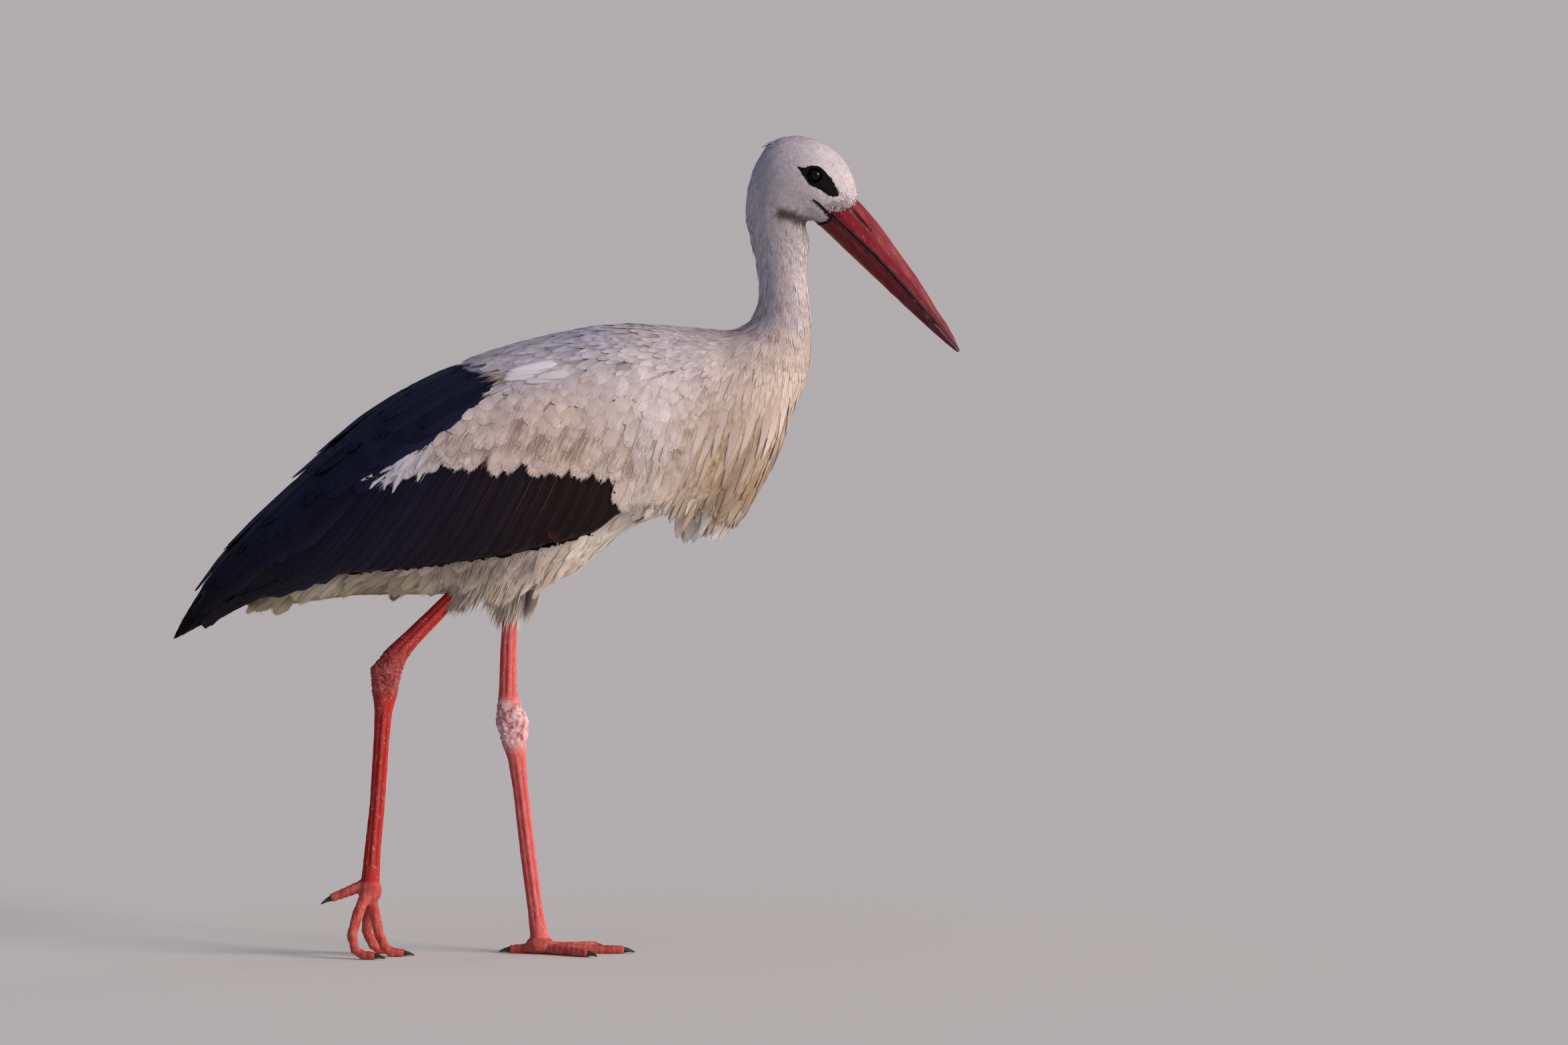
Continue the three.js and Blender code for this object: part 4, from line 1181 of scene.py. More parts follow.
    # Separate white points at the rear end of the coverts.
    rear = several(4, vane, rng, 6, 8, 5, 90, point=0.75, widest=0.4, camber=0.1, fray=0.5, fluff=0.12,
                   barb=0.035, angle=18, solid=0.78)
    back = rng.uniform(0.05, 0.20, 16)
    x = x_at(node, 0) + back * (x_at(node, 1) - x_at(node, 0))
    roots, kept = on_side(sign, x, mix(bottom(x), top(x), rng.uniform(0.35, 0.8, 16)))
    bright = np.array([0.90, 0.88, 0.94]) * rng.uniform(0.85, 1.0, (len(kept), 1))
    row(piece, rng, rear, roots, lie((node, 0.1, 0.5, -0.66, -0.75)), rng.uniform(0.022, 0.036, len(kept)),
        0.0085, 14 * MM, 0.6 * MM, 1.6 * MM, 0.3 * MM, bright * 0.9, bright, tip_from=0.2, stations=7,
        steps=12, rim=0.1, stray=0.28)
    # Long pale feathers along the bend of the wing, over the side of the breast.
    fore = np.linspace(0.80, 0.16, 20) + rng.normal(0, 0.01, 20)
    x = np.interp(fore, (0.16, 0.42, 0.65, 0.80), [x_at(node, a) for a in (0.90, 0.965, 0.975, 0.93)])
    roots, kept = on_side(sign, x - rng.uniform(0, 5, 20) * MM, np.array([z_at(node, f) for f in fore]),
                          HULL)
    row(piece, rng, middle, roots, lie((node, 0.97, 0.9, -0.1, -1.0), (node, 0.97, 0.5, -0.22, -0.97),
                                       (node, 0.9, 0.1, -0.5, -0.86)), rng.uniform(0.026, 0.044, len(kept)),
        0.0115, 16 * MM, 0.4 * MM, 1.1 * MM, 0.9 * MM, stained(0.06, 0.95, 0.2), pale(0.05, 1.25),
        tip_from=0.3, stations=7, steps=12, rim=0.12, stray=0.05, surface=HULL)
    piece.build(node)


def loose_tuft():
    """The bright loose feathers at the mantle's rear edge, with tan frayed ends lying on the black."""
    rng = np.random.default_rng(111)
    big = several(4, vane, rng, 4.5, 9, 5, 120, point=0.45, widest=0.42, camber=0.16, fray=0.55, fluff=0.10,
                  barb=0.035, angle=20, bulge=0.10, solid=0.74)
    frayed = several(4, tuft, rng, 16, 0.05, spread=0.7, splay=0.6, cuts=4, fluff=0.3, short=0.5)
    piece = Piece("loose_scapular_tufts", WHITE, "white_feathers", 0.75)
    way = lie(("mantle", 0.45, 0.9, -0.99, -0.08), ("mantle", 0.2, 0.9, -0.97, -0.18),
              ("mantle", 0.0, 0.7, -0.9, -0.42))
    white, tan = np.array([0.90, 0.87, 0.93]), np.array([0.70, 0.59, 0.50])
    # Each: how far along the mantle and how high, length, width, colour and shape.
    tufts = ((0.22, 0.745, 0.036, 0.012, tan, frayed), (0.17, 0.750, 0.034, 0.010, tan, frayed),
             (0.24, 0.725, 0.030, 0.009, tan, frayed), (0.38, 0.725, 0.034, 0.014, white * 0.80, big),
             (0.42, 0.745, 0.036, 0.014, white * 0.86, big), (0.30, 0.745, 0.034, 0.014, white * 0.88, big),
             (0.34, 0.775, 0.042, 0.014, white * 0.97, big), (0.38, 0.800, 0.050, 0.013, white, big),
             (0.36, 0.790, 0.046, 0.012, white, big))
    for sign in SIDES.values():
        for along, up, long, wide, tone, forms in tufts:
            roots, kept = on_side(sign, np.array([x_at("mantle", along) + rng.normal(0, 1.5 * MM)]),
                                  np.array([z_at("mantle", up)]))
            colour = np.tile(tone, (len(kept), 1))
            row(piece, rng, forms, roots, way, np.full(len(kept), long), wide, 20 * MM, 0.5 * MM, 2.0 * MM,
                0.0, colour, colour * 1.05, stations=6, steps=8)
    piece.build("mantle")


def fringe_below(piece, rng, forms, first, last, gap, up, hang, way, width, colour, tip, **how):
    """Loose feathers from low on the sides that leave the body and hang past its underside."""
    for sign in SIDES.values():
        x = np.arange(first, last, gap)
        x = x + rng.normal(0, 0.3 * gap, len(x))
        under = [BODY_HULL.hit((a, sign * 3 * MM, 0.2), (0, 0, 1), 0.4) for a in x]
        x = np.array([a for a, f in zip(x, under) if f is not None])
        rise = up * rng.uniform(0.7, 1.4, len(x))
        roots, kept = on_side(sign, x, np.array([f[2] for f in under if f is not None]) + rise, BODY_HULL)
        length = (rise[kept] + hang * rng.uniform(0.2, 1.4, len(kept))) / -way(roots)[:, 2]
        row(piece, rng, forms, roots, way, length, width * rng.uniform(0.8, 1.2, len(kept)), 90 * MM,
            0.8 * MM, 1.0 * MM, 0.3 * MM, colour, tip, stations=7, steps=12, leave=0.2, surface=BODY_HULL,
            stray=0.10, **how)


def shown(surface, faces, margin):
    """Those faces that no wing lies over by more than the margin."""
    out = np.zeros(len(surface.region), bool)
    index = np.flatnonzero(faces)
    gap = np.array([HULL.tree.find_nearest(p)[3] for p in surface.centre[index].tolist()])
    out[index[gap < margin]] = True
    return out


def ragged(seed, low, high):
    return lambda points: np.random.default_rng(seed).uniform(low, high, len(points))


def belly_coat():
    rng = np.random.default_rng(61)
    forms = several(8, vane, rng, 7.5, 7, 5, 80, point=0.45, widest=0.45, camber=0.12, fray=0.55,
                    fluff=0.14, barb=0.03, angle=20, solid=0.78)
    piece = Piece("belly_feathers", WHITE, "white_feathers", 0.6)
    x, z = BODY_HULL.centre[:, 0], BODY_HULL.centre[:, 2]
    faces = region("trunk", surface=BODY_HULL) & ((x <= x_at("trunk", 0.68)) | (z <= z_at("trunk", 0.22)))
    coat(piece, 62, shown(BODY_HULL, faces, 9 * MM), 5.6 * MM, 0.052, 0.0145, BODY_WAY, forms, 1.2 * MM,
         0.4 * MM, ragged(63, 4 * MM, 15 * MM), stained(0.06, 0.95), pale(0.05, 1.15), surface=BODY_HULL,
         stretch=(1.7, 1, 1.2), rim=0.12, leave=0.5, stray=0.10, tip_from=0.3)
    fringe_below(piece, rng, forms, x_at("left_thigh", 0.0), x_at("breast_plumes", -0.12), 9 * MM, 16 * MM,
                 4 * MM, lie(("trunk", 0.5, 0.1, -0.62, -0.78)), 0.013, stained(0.06, 0.95),
                 pale(0.06, 1.25), rim=0.15, tip_from=0.3)
    fringe_below(piece, rng, forms, x_at("left_thigh", 0.35), x_at("left_thigh", 1.7), 7 * MM, 18 * MM,
                 15 * MM, lie(("trunk", 0.4, 0.1, -0.45, -0.89)), 0.012, stained(0.06, 1.0),
                 pale(0.06, 1.3), rim=0.15, tip_from=0.3)
    piece.build("trunk")


def thigh_coat():
    rng = np.random.default_rng(71)
    forms = several(12, tuft, rng, 12, 0.11, spread=0.85, splay=0.4, cuts=5, fluff=0.18, short=0.5)
    locks = several(8, tuft, rng, 12, 0.12, spread=0.9, splay=0.28, cuts=5, fluff=0.12, short=0.65)
    piece = Piece("thigh_feathers", WHITE, "white_feathers", 0.75)
    for n, side in enumerate(SIDES):
        lean = (-0.45, -0.88) if side == "right" else (-0.14, -1.0)
        node = f"{side}_thigh"
        way = lie((node, 0.5, 0.0, *lean), (node, 0.5, 1.0, -0.5, -0.86))
        coat(piece, 72 + n, shown(BODY_HULL, region(node, surface=BODY_HULL), 9 * MM), 2.8 * MM, 0.042,
             7.5 * MM, way, forms, 1.0 * MM, 0.8 * MM, ragged(74 + n, 8 * MM, 24 * MM if side == "right"
                                                              else 36 * MM), stained(0.08, 0.9),
             pale(0.06, 1.2), surface=BODY_HULL, leave=0.55, drop=True)
        # Long loose locks from the flank above each leg.
        rng = np.random.default_rng(76 + n)
        count = 46
        x = mix(x_at(node, 0) - 16 * MM, x_at(node, 1) + 26 * MM, rng.random(count))
        z = z_at(node, 1) + rng.uniform(-4, 34, count) * MM
        roots, kept = on_side(SIDES[side], x, z, BODY_HULL)
        row(piece, rng, forms, roots, lie((node, 0.5, 0.5, -0.34, -0.94)),
            rng.uniform(0.045, 0.075, len(kept)), 0.011, ragged(78, 12 * MM, 30 * MM)(roots), 0.8 * MM,
            1.6 * MM, 0.0, stained(0.06, 0.95), pale(0.05, 1.2), stations=6, steps=9, leave=0.35,
            surface=BODY_HULL, drop=True)
        # Locks that hang round the top of the shank, painted much brighter than the coat: painted light where
        # the body shades them.
        low, high = (np.array(c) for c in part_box(node))
        many, shortest, longest = (64, 0.018, 0.032) if side == "right" else (120, 0.022, 0.046)
        angle = rng.random(many) * 2 * math.pi
        ring = np.array([(low[0] + high[0]) / 2, (low[1] + high[1]) / 2,
                         low[2] + (9 if side == "right" else 15) * MM])
        radius = np.array([(high[0] - low[0]) / 2, (high[1] - low[1]) / 2])
        start = ring + np.stack([np.cos(angle) * radius[0], np.sin(angle) * radius[1],
                                 rng.uniform(-6, 8, many) * MM], 1)
        length = rng.uniform(shortest, longest, many)
        row(piece, rng, locks, start, way, length, 0.0085, 60 * MM, 0.8 * MM, 0.8 * MM, 0.0,
            stained(0.06, 1.2), pale(0.05, 1.7), stations=6, steps=9, leave=0.3, surface=BODY_HULL,
            drop=True)
    # A loose tuft that hangs behind the standing leg, painted brighter still: painted light where the body
    # shades it.
    start = np.array([low[0] - 3 * MM, (low[1] + high[1]) / 2, low[2] + 20 * MM])
    start = start + rng.normal(0, 1, (14, 3)) * np.array([3.5, 6.0, 3.0]) * MM
    row(piece, rng, locks, start, lie(("left_thigh", 0, 0, 0.08, -1.0)), rng.uniform(0.030, 0.042, 14),
        0.009, 60 * MM, 0.8 * MM, 0.8 * MM, 0.0, pale(0.05, 1.5), pale(0.05, 1.9), stations=6, steps=9,
        leave=0.3, surface=BODY_HULL, drop=True)
    piece.build("right_thigh", "left_thigh")


def tail_coat():
    rng = np.random.default_rng(81)
    forms = several(8, vane, rng, 7.5, 9, 5, 70, point=0.45, widest=0.5, camber=0.14, fray=0.55, fluff=0.15,
                    barb=0.03, shaft=(0, 0.02), angle=22, solid=0.82)
    piece = Piece("tail_feathers", WHITE, "white_feathers", 0.5)
    coat(piece, 82, shown(BODY_HULL, region("tail", surface=BODY_HULL), 14 * MM), 8 * MM, 0.075, 0.019,
         BODY_WAY, forms, 1.5 * MM, 0.6 * MM, ragged(83, 0, 9 * MM), stained(0.08, 0.9), pale(0.06, 1.35),
         surface=BODY_HULL, leave=0.6, shaft=np.array([0.42, 0.34, 0.24]), tip_from=0.4, rim=0.1)
    # Broad loose feathers that show below the wing's edge.
    for sign, side in ((s, n) for n, s in SIDES.items()):
        hem = edge_of(f"{side}_flight_feathers", True)
        for n, up in enumerate((9 * MM, 2 * MM)):
            x = np.arange(x_at("tail", 0.12), x_at("tail", 0.90), 13 * MM) + rng.normal(0, 3 * MM)
            roots, kept = on_side(sign, x, hem(x) + up + rng.normal(0, 3 * MM, len(x)), BODY_HULL)
            row(piece, rng, forms, roots, lie(("tail", 0.5, 0.2, -0.80, -0.60)),
                rng.uniform(0.055, 0.085, len(kept)), 0.023, ragged(84 + n, 6 * MM, 16 * MM)(roots),
                1.0 * MM, 1.4 * MM, 0.4 * MM, stained(0.08, 0.9), pale(0.06, 1.5), stations=7, steps=12,
                leave=0.45, surface=BODY_HULL, rim=0.15, tip_from=0.35, stray=0.08)
    for gap, up, hang in ((13 * MM, 30 * MM, 1 * MM), (19 * MM, 20 * MM, 8 * MM)):
        fringe_below(piece, rng, forms, x_at("tail", 0.03), x_at("right_thigh", 0.6), gap, up, hang,
                     lie(("tail", 0.3, 0.1, -0.74, -0.67), ("tail", 0.9, 0.1, -0.62, -0.78)), 0.021,
                     stained(0.08, 0.80), pale(0.06, 1.5), rim=0.2, tip_from=0.25)
    piece.build("tail")


# ---------------------------------------------------------------- black flight feathers

DARK = Field(
    *of("left_flight_feathers", (0.95, 0.8, 0.009, 0.006, 0.007), (0.75, 0.6, 0.008, 0.006, 0.007),
        (0.45, 0.4, 0.007, 0.006, 0.009), (0.05, 0.1, 0.005, 0.005, 0.008)),
    *of("left_scapulars", (0.9, 0.9, 0.009, 0.010, 0.032), (0.5, 0.6, 0.008, 0.008, 0.026),
        (0.1, 0.2, 0.005, 0.005, 0.010)))
RUST = np.array([0.115, 0.034, 0.016])


def dark(rng, points):
    return tones(rng, DARK, points, 0.14)


def outer(node):
    """A wing node's faces that look away from the body."""
    n = WING_HULL.normals[WING_HULL.tris].mean(1)
    away = n[:, 1] * np.sign(WING_HULL.centre[:, 1])
    return region(node, surface=WING_HULL) & ((away > 0.1) | (n[:, 2] > 0.35))


def flight_coat(side):
    sign = SIDES[side]
    rng = np.random.default_rng(91)
    under = several(5, vane, rng, 6, 7, 5, 24, point=0.3, widest=0.5, camber=0.1, fray=0.2, fluff=0.1,
                    barb=0.1)
    long = several(6, vane, rng, 13, 30, 9, 60, point=0.12, widest=0.72, camber=0.16, fray=0.12, fluff=0.05,
                   barb=0.05, shaft=(0.3, 0.05), splits=2, solid=0.95)
    short = several(6, vane, rng, 8, 20, 9, 60, point=0.0, widest=0.70, camber=0.16, fray=0.12, fluff=0.05,
                    barb=0.05, shaft=(0.2, 0.05), splits=1, solid=0.95)
    node, cover = f"{side}_flight_feathers", f"{side}_wing_coverts"
    piece = Piece(f"{side}_wing_feathers", BLACK, "black_feathers", 0.3)
    tip_x = x_at(node, 0)
    coat(piece, 92, region(node, surface=WING_HULL), 9 * MM,
         lambda p: mix(0.026, 0.050, smooth(p[:, 0], tip_x, tip_x + 0.10)),
         lambda p: mix(0.006, 0.018, smooth(p[:, 0], tip_x + 0.01, tip_x + 0.10)), FLIGHT_WAY, under,
         1.6 * MM, -0.6 * MM, -1 * MM, dark, dark, surface=WING_HULL)
    edge = edge_of(cover, True)
    front_x, rear_x = x_at(node, 0.992), x_at(cover, 0.02)
    # Secondaries from the front back, then the rufous-shafted greater coverts over their upper part.
    # Each: how many, length, width, share of the way to the wing's edge, how far past, rise, rust and form.
    rows = ((25, 0.21, 0.0270, 1.0, 5 * MM, 0.3 * MM, 0.25, long),
            (23, 0.15, 0.0235, 0.66, 1 * MM, 1.3 * MM, 1.0, short))
    for count, long_of, wide, share, over, rise, rusty, forms in rows:
        t = (np.arange(count) + rng.normal(0, 0.07, count)) / (count - 1)
        x = mix(front_x, rear_x, t.clip(0, 1) ** 0.9)
        z = np.maximum(edge(x) + 13 * MM, z_at(node, 0.2))
        z = np.where(x > front_x - 10 * MM, np.minimum(z, z_at(node, 0.90)), z)
        roots, kept = on_side(sign, x, z)
        base = dark(rng, roots)
        front = smooth(x[kept], x_at(node, 0.40), x_at(node, 0.85))[:, None]
        ends = mix(base, RUST * rng.uniform(0.15, 0.75, (len(kept), 1)), rusty * 0.8 * front)
        reach = share * rng.uniform(0.97 if share == 1 else 0.90, 1.0, len(kept))
        shaft = mix(base * 1.3, RUST * rng.uniform(0.15, 1.3, (len(kept), 1)), (0.1 + 0.8 * rusty) * front)
        row(piece, rng, forms, roots, FLIGHT_WAY, np.full(len(kept), long_of), wide, over, 1.2 * MM, rise,
            1.0 * MM, mix(base * 0.8, RUST, 0.05 * front * rusty), ends, share=reach, tip_from=0.86,
            steps=28, shaft=shaft, shaft_fade=(0.20, 0.66), rim=0.5)
    # The tertials, which lie over the rear of the secondaries.
    t = np.linspace(0, 1, 9)
    roots, kept = on_side(sign, mix(x_at(node, 0.42), x_at(node, 0.56), t),
                          mix(z_at(node, 0.36), z_at(node, 0.62), t))
    base = dark(rng, roots) * 0.85
    row(piece, rng, long, roots, FLIGHT_WAY, mix(0.215, 0.18, t[kept]), 0.022, 8 * MM, 1 * MM, 1.6 * MM,
        -0.9 * MM, base, base * 1.3, share=1.0, steps=28, shaft=base * 2.2, rim=0.5)
    # The folded primaries that make the point of the wing.
    primary = several(3, vane, rng, 9, 20, 7, 50, point=0.7, widest=0.45, camber=0.10, fray=0.12,
                      fluff=0.03, barb=0.05, shaft=(0.2, 0.04), solid=0.96)
    for n, (back, up) in enumerate(((0.30, 0.38), (0.27, 0.36), (0.24, 0.34), (0.22, 0.30), (0.20, 0.26),
                                    (0.17, 0.22))):
        roots, kept = on_side(sign, np.array([x_at(node, back)]), np.array([z_at(node, up)]))
        base = dark(rng, roots) * 0.9
        row(piece, rng, primary, roots, FLIGHT_WAY, np.full(len(kept), 0.16), 0.020, (6 - 3.5 * n) * MM,
            0.8 * MM, (0.5 + 0.2 * n) * MM, 0.5 * MM, base, base * 1.2, share=1.0, steps=28, leave=0.5,
            shaft=base * 2.0, rim=0.5)
    piece.build(node)


def scapular_coat(side):
    sign = SIDES[side]
    rng = np.random.default_rng(101)
    under = several(5, vane, rng, 6, 7, 5, 24, point=0.3, widest=0.5, camber=0.1, fray=0.2, fluff=0.1,
                    barb=0.1)
    long = several(6, vane, rng, 7.5, 18, 7, 70, point=0.25, widest=0.6, camber=0.20, fray=0.22, fluff=0.1,
                   barb=0.05, shaft=(0.1, 0.03), splits=2, solid=0.93)
    node = f"{side}_scapulars"
    piece = Piece(f"{side}_scapular_feathers", BLACK, "black_feathers", 0.3)
    tip_x = x_at(node, 0)
    coat(piece, 102, region(node, surface=WING_HULL), 9 * MM, 0.050,
         lambda p: mix(0.009, 0.020, smooth(p[:, 0], tip_x, tip_x + 0.06)), BACK_WAY, under,
         1.2 * MM, -0.4 * MM, 1 * MM, dark, dark, surface=WING_HULL)
    lower, upper = edge_of(node, True), edge_of(node, False)
    # Ranks along the band, from its lower edge up and from the tail forward; each lies over the ones before.
    # Each: how high up the band, spacing, width, length and rise.
    ranks = ((0.10, 0.030, 0.028, 0.100, 2.0 * MM), (0.34, 0.032, 0.030, 0.115, 1.4 * MM),
             (0.56, 0.034, 0.030, 0.120, 1.8 * MM), (0.78, 0.034, 0.028, 0.115, 2.2 * MM),
             (0.95, 0.032, 0.024, 0.100, 2.6 * MM))
    for n, (h, gap, wide, reach, rise) in enumerate(ranks):
        first, last = x_at(node, 0.20), x_at(node, 0.97)
        count = int((last - first) / gap) + 1
        x = np.linspace(first, last, count) + (n % 2) * gap * 0.45 + rng.normal(0, 3 * MM, count)
        z = mix(lower(x), upper(x), h + rng.normal(0, 0.03, count))
        roots, kept = on_side(sign, x, z)
        base = dark(rng, roots)
        row(piece, rng, long, roots, BACK_WAY, reach * rng.uniform(0.9, 1.1, len(kept)), wide, 14 * MM,
            1.2 * MM, rise + rng.uniform(0, 1.0, len(kept)) * MM, 0.7 * MM, base, base * 1.2, stations=9,
            steps=16, leave=0.3, shaft=base * 2.0, rim=0.7)
    piece.build(node)


# ---------------------------------------------------------------- skin

DEPTHS = {"head": 0.8, "neck": 1.4, "trunk": 2.6, "tail": 3.0, "breast_plumes": 3.0, "mantle": 2.4,
          "right_wing_coverts": 2.6, "left_wing_coverts": 2.6, "right_scapulars": 2.6, "left_scapulars": 2.6,
          "right_flight_feathers": 2.0, "left_flight_feathers": 2.0, "right_thigh": 4.0, "left_thigh": 4.0}
BILL_RED = np.array([0.25, 0.0078, 0.023])
RED, PINK = np.array([0.50, 0.040, 0.034]), np.array([0.74, 0.42, 0.42])
BARE_BLACK = np.array([0.0016, 0.0014, 0.0022])


def spread(values, tris, rounds):
    """Evens a value out over a mesh's neighbouring vertices."""
    edges = np.concatenate([tris[:, [0, 1]], tris[:, [1, 2]], tris[:, [2, 0]]])
    for _ in range(rounds):
        total, count = np.zeros_like(values), np.zeros(len(values))
        np.add.at(total, edges[:, 0], values[edges[:, 1]])
        np.add.at(total, edges[:, 1], values[edges[:, 0]])
        np.add.at(count, edges[:, 0], 1)
        np.add.at(count, edges[:, 1], 1)
        share = count if values.ndim == 1 else count[:, None]
        values = 0.5 * values + 0.5 * total / np.maximum(share, 1)
    return values


def body_skin():
    """The plumage's outside drawn in by the coat's depth, and sunk behind the eyeballs."""
    names = HULL.node_at(HULL.verts)
    depth = np.array([DEPTHS[n] for n in names]) * MM
    room = HULL.depth(HULL.verts, -HULL.normals, 40 * MM)
    depth = spread(np.minimum(depth, 0.33 * room), HULL.tris, 4)
    verts = HULL.verts - HULL.normals * depth[:, None]
    for sign in SIDES.values():
        flat = np.linalg.norm(from_eye(verts), axis=1)
        near = (flat < 13 * MM) & (np.sign(verts[:, 1]) == sign)
        verts[near, 1] -= sign * 7 * MM * (1 - smooth(flat[near], 6.5 * MM, 10.5 * MM))
    # The skin takes the plumage's colours, painted shade included, and the face's stains and painted throat
    # shadow.
    white = PALE_WITH_PAINTED_SHADE(verts) * 0.9
    face = from_eye(verts)
    near = np.linalg.norm(face, axis=1) < 70 * MM
    white[near] *= stains_and_painted_shadow(verts[near])
    dark = np.char.find(names, "flight") + np.char.find(names, "scapular") > -2
    tint = np.where(dark[:, None], DARK(verts), white)
    head = names == "head"
    bare = smooth(in_patch(verts), 0.6 * MM, -0.3 * MM) * head
    tint = mix(tint, BARE_BLACK, bare[:, None])
    return verts, HULL.tris, tint


def axis_of(node):
    """A limb part's middle line: its two ends."""
    v, _, _ = arrays(NODES[node].data)
    middle = v.mean(0)
    way = np.linalg.svd(v - middle, full_matrices=False)[2][0]
    way = way if way[2] < 0 else -way
    t = (v - middle) @ way
    return middle + way * t.min(), middle + way * t.max()


def leg_skin():
    """Both legs as one smooth skin each, with a groove down each shaft, wrinkled hocks and rough scales.
    Painted light too: the left leg lighter, a pale highlight stripe down each shaft, and painted shade at the
    rear, in the groove and in the wrinkles.
    """
    v, t, owner = together(LEGS)
    verts, tris, normals = remeshed(v, t, 1.45 * MM, 5)
    solid = solid_of(*LEGS)
    part = np.array(LEGS)[owner[[solid.find_nearest(p)[2] for p in verts.tolist()]]]
    lift = np.zeros(len(verts))
    tint = np.tile(RED, (len(verts), 1))
    grain, knobs, fine = ripple(verts, 140.0), ripple(verts,
                                                      85.0), ripple(verts * np.array([300, 300, 120]), 1.0)
    for side, sign in SIDES.items():
        for shaft in ("shank", "tarsus"):
            here = part == f"{side}_{shaft}"
            top, end = axis_of(f"{side}_{shaft}")
            way = unit(end - top)
            off = verts[here] - top
            along = off @ way / np.linalg.norm(end - top)
            off = off - (off @ way)[:, None] * way
            ahead = unit(np.array([1.0, 0, 0]) - way * way[0])
            out = np.cross(way, ahead)
            angle = np.abs(np.arctan2(off @ out, off @ ahead))
            groove = np.exp(-((angle - 2.0) / 0.22) ** 2) + 0.7 * np.exp(-((angle - 0.9) / 0.18) ** 2)
            fade = smooth(along, 0.02, 0.15) * (1 - smooth(along, 0.85, 0.98))
            lift[here] -= 1.3 * MM * groove * fade
            # A pale pink stripe down each side of the shaft: a painted highlight, stronger on the left leg.
            base, painted_stripe_share = (0.12, 0.25) if side == "left" else (0.0, 0.10)
            pale = base + painted_stripe_share * np.exp(-((angle - 1.4) / 0.35) ** 2) * fade
            # The left leg is painted lighter than the right, as painted light; each shaft is darker at the
            # rear and in its groove, as painted shade.
            red = np.array([0.84, 0.13, 0.12]) if side == "left" else RED * np.array([1.1, 0.85, 0.85])
            red = mix(red, red * np.array([0.55, 0.35, 0.35]), smooth(angle, 1.7, 2.5)[:, None] * 0.8)
            red = red * (1 - 0.45 * (groove * fade)[:, None] * np.array([0.8, 1, 1]))
            tint[here] = mix(red, PINK, (pale * (0.6 + 0.8 * grain[here]))[:, None].clip(0, 1))
        hock = spot(f"{side}_hock", 0.5, 0.5)
        gap = np.where(np.sign(verts[:, 1]) == sign, np.abs(verts[:, 2] - hock[2]), 1.0)
        near = 1 - smooth(gap, 14 * MM, 30 * MM)
        wrinkle = 2 * np.abs(np.sin(verts[:, 2] * 620 + 4 * grain + 3 * knobs + verts[:, 0] * 260)) - 1
        lift += near * (0.85 * MM * wrinkle + 1.5 * MM * knobs)
        # Darker in the troughs of the wrinkles: painted shade in the creases.
        shaded_hollow = near * smooth(-wrinkle - 0.6 * knobs, 0.0, 0.8)
        tint = mix(tint, tint * 0.45, (shaded_hollow * (0.4 if side == "left" else 0.85))[:, None])
        pale, tone = (1.0, np.array([1.0, 0.72, 0.76])) if side == "left" else (0.16, PINK)
        tint = mix(tint * (1 - 0.25 * near * (side == "right"))[:, None], tone,
                   (near * pale * (0.75 + 0.9 * fine) * (1 - 0.5 * shaded_hollow)).clip(0, 1)[:, None])
    toes = np.char.find(part, "toe") + np.char.find(part, "foot") > -2
    ring = np.sin(verts[:, 0] * 1150 + grain * 2)
    lift += toes * 0.22 * MM * ring
    tint = mix(tint, (0.66, 0.20, 0.16), (toes * (0.35 + 0.5 * grain)).clip(0, 1)[:, None])
    lift += 0.18 * MM * fine
    return verts + normals * lift[:, None], tris, tint


SIGHT = solid_of("head", "bill_upper", "bill_lower")


def face_point(flat, sign):
    """A place on the side of the face, given forward of and above the eye, and the way out of the face."""
    x, z = EYE["left"][0] + flat[0], EYE["left"][2] + flat[1]
    hit = SIGHT.ray_cast((x, sign * 0.2, z), (0, -sign, 0), 0.2)
    if hit[0] is None:
        hit = SIGHT.find_nearest((x, sign * 4 * MM, z))
    return np.array(hit[0]), np.array(hit[1])


def fold(line, sign, radius, steps, colour):
    """A soft fold of skin along a line on the face: a flattened tube, thin at both ends."""
    at = np.linspace(0, len(line) - 1, steps)
    low = np.clip(np.floor(at).astype(int), 0, len(line) - 2)
    flat = mix(line[low], line[low + 1], (at - low)[:, None])
    flat = np.stack([np.convolve(np.pad(flat[:, i], 2, "edge"), np.ones(5) / 5, "valid") for i in (0, 1)], 1)
    places, outs = zip(*(face_point(f, sign) for f in flat))
    places, outs = np.array(places), unit(np.array(outs))
    along = unit(np.gradient(places, axis=0))
    side = np.cross(outs, along)
    ring = 10
    verts = []
    for k in range(steps):
        thin = radius * (0.25 + 0.75 * math.sin(math.pi * min(max((k + 0.5) / steps, 0.03), 0.97)) ** 0.5)
        for j in range(ring):
            a = 2 * math.pi * j / ring
            verts.append(places[k] + side[k] * math.cos(a) * thin + outs[k] * (math.sin(a) * thin * 0.8))
    return np.array(verts), tube(steps, ring), np.tile(colour, (len(verts), 1))


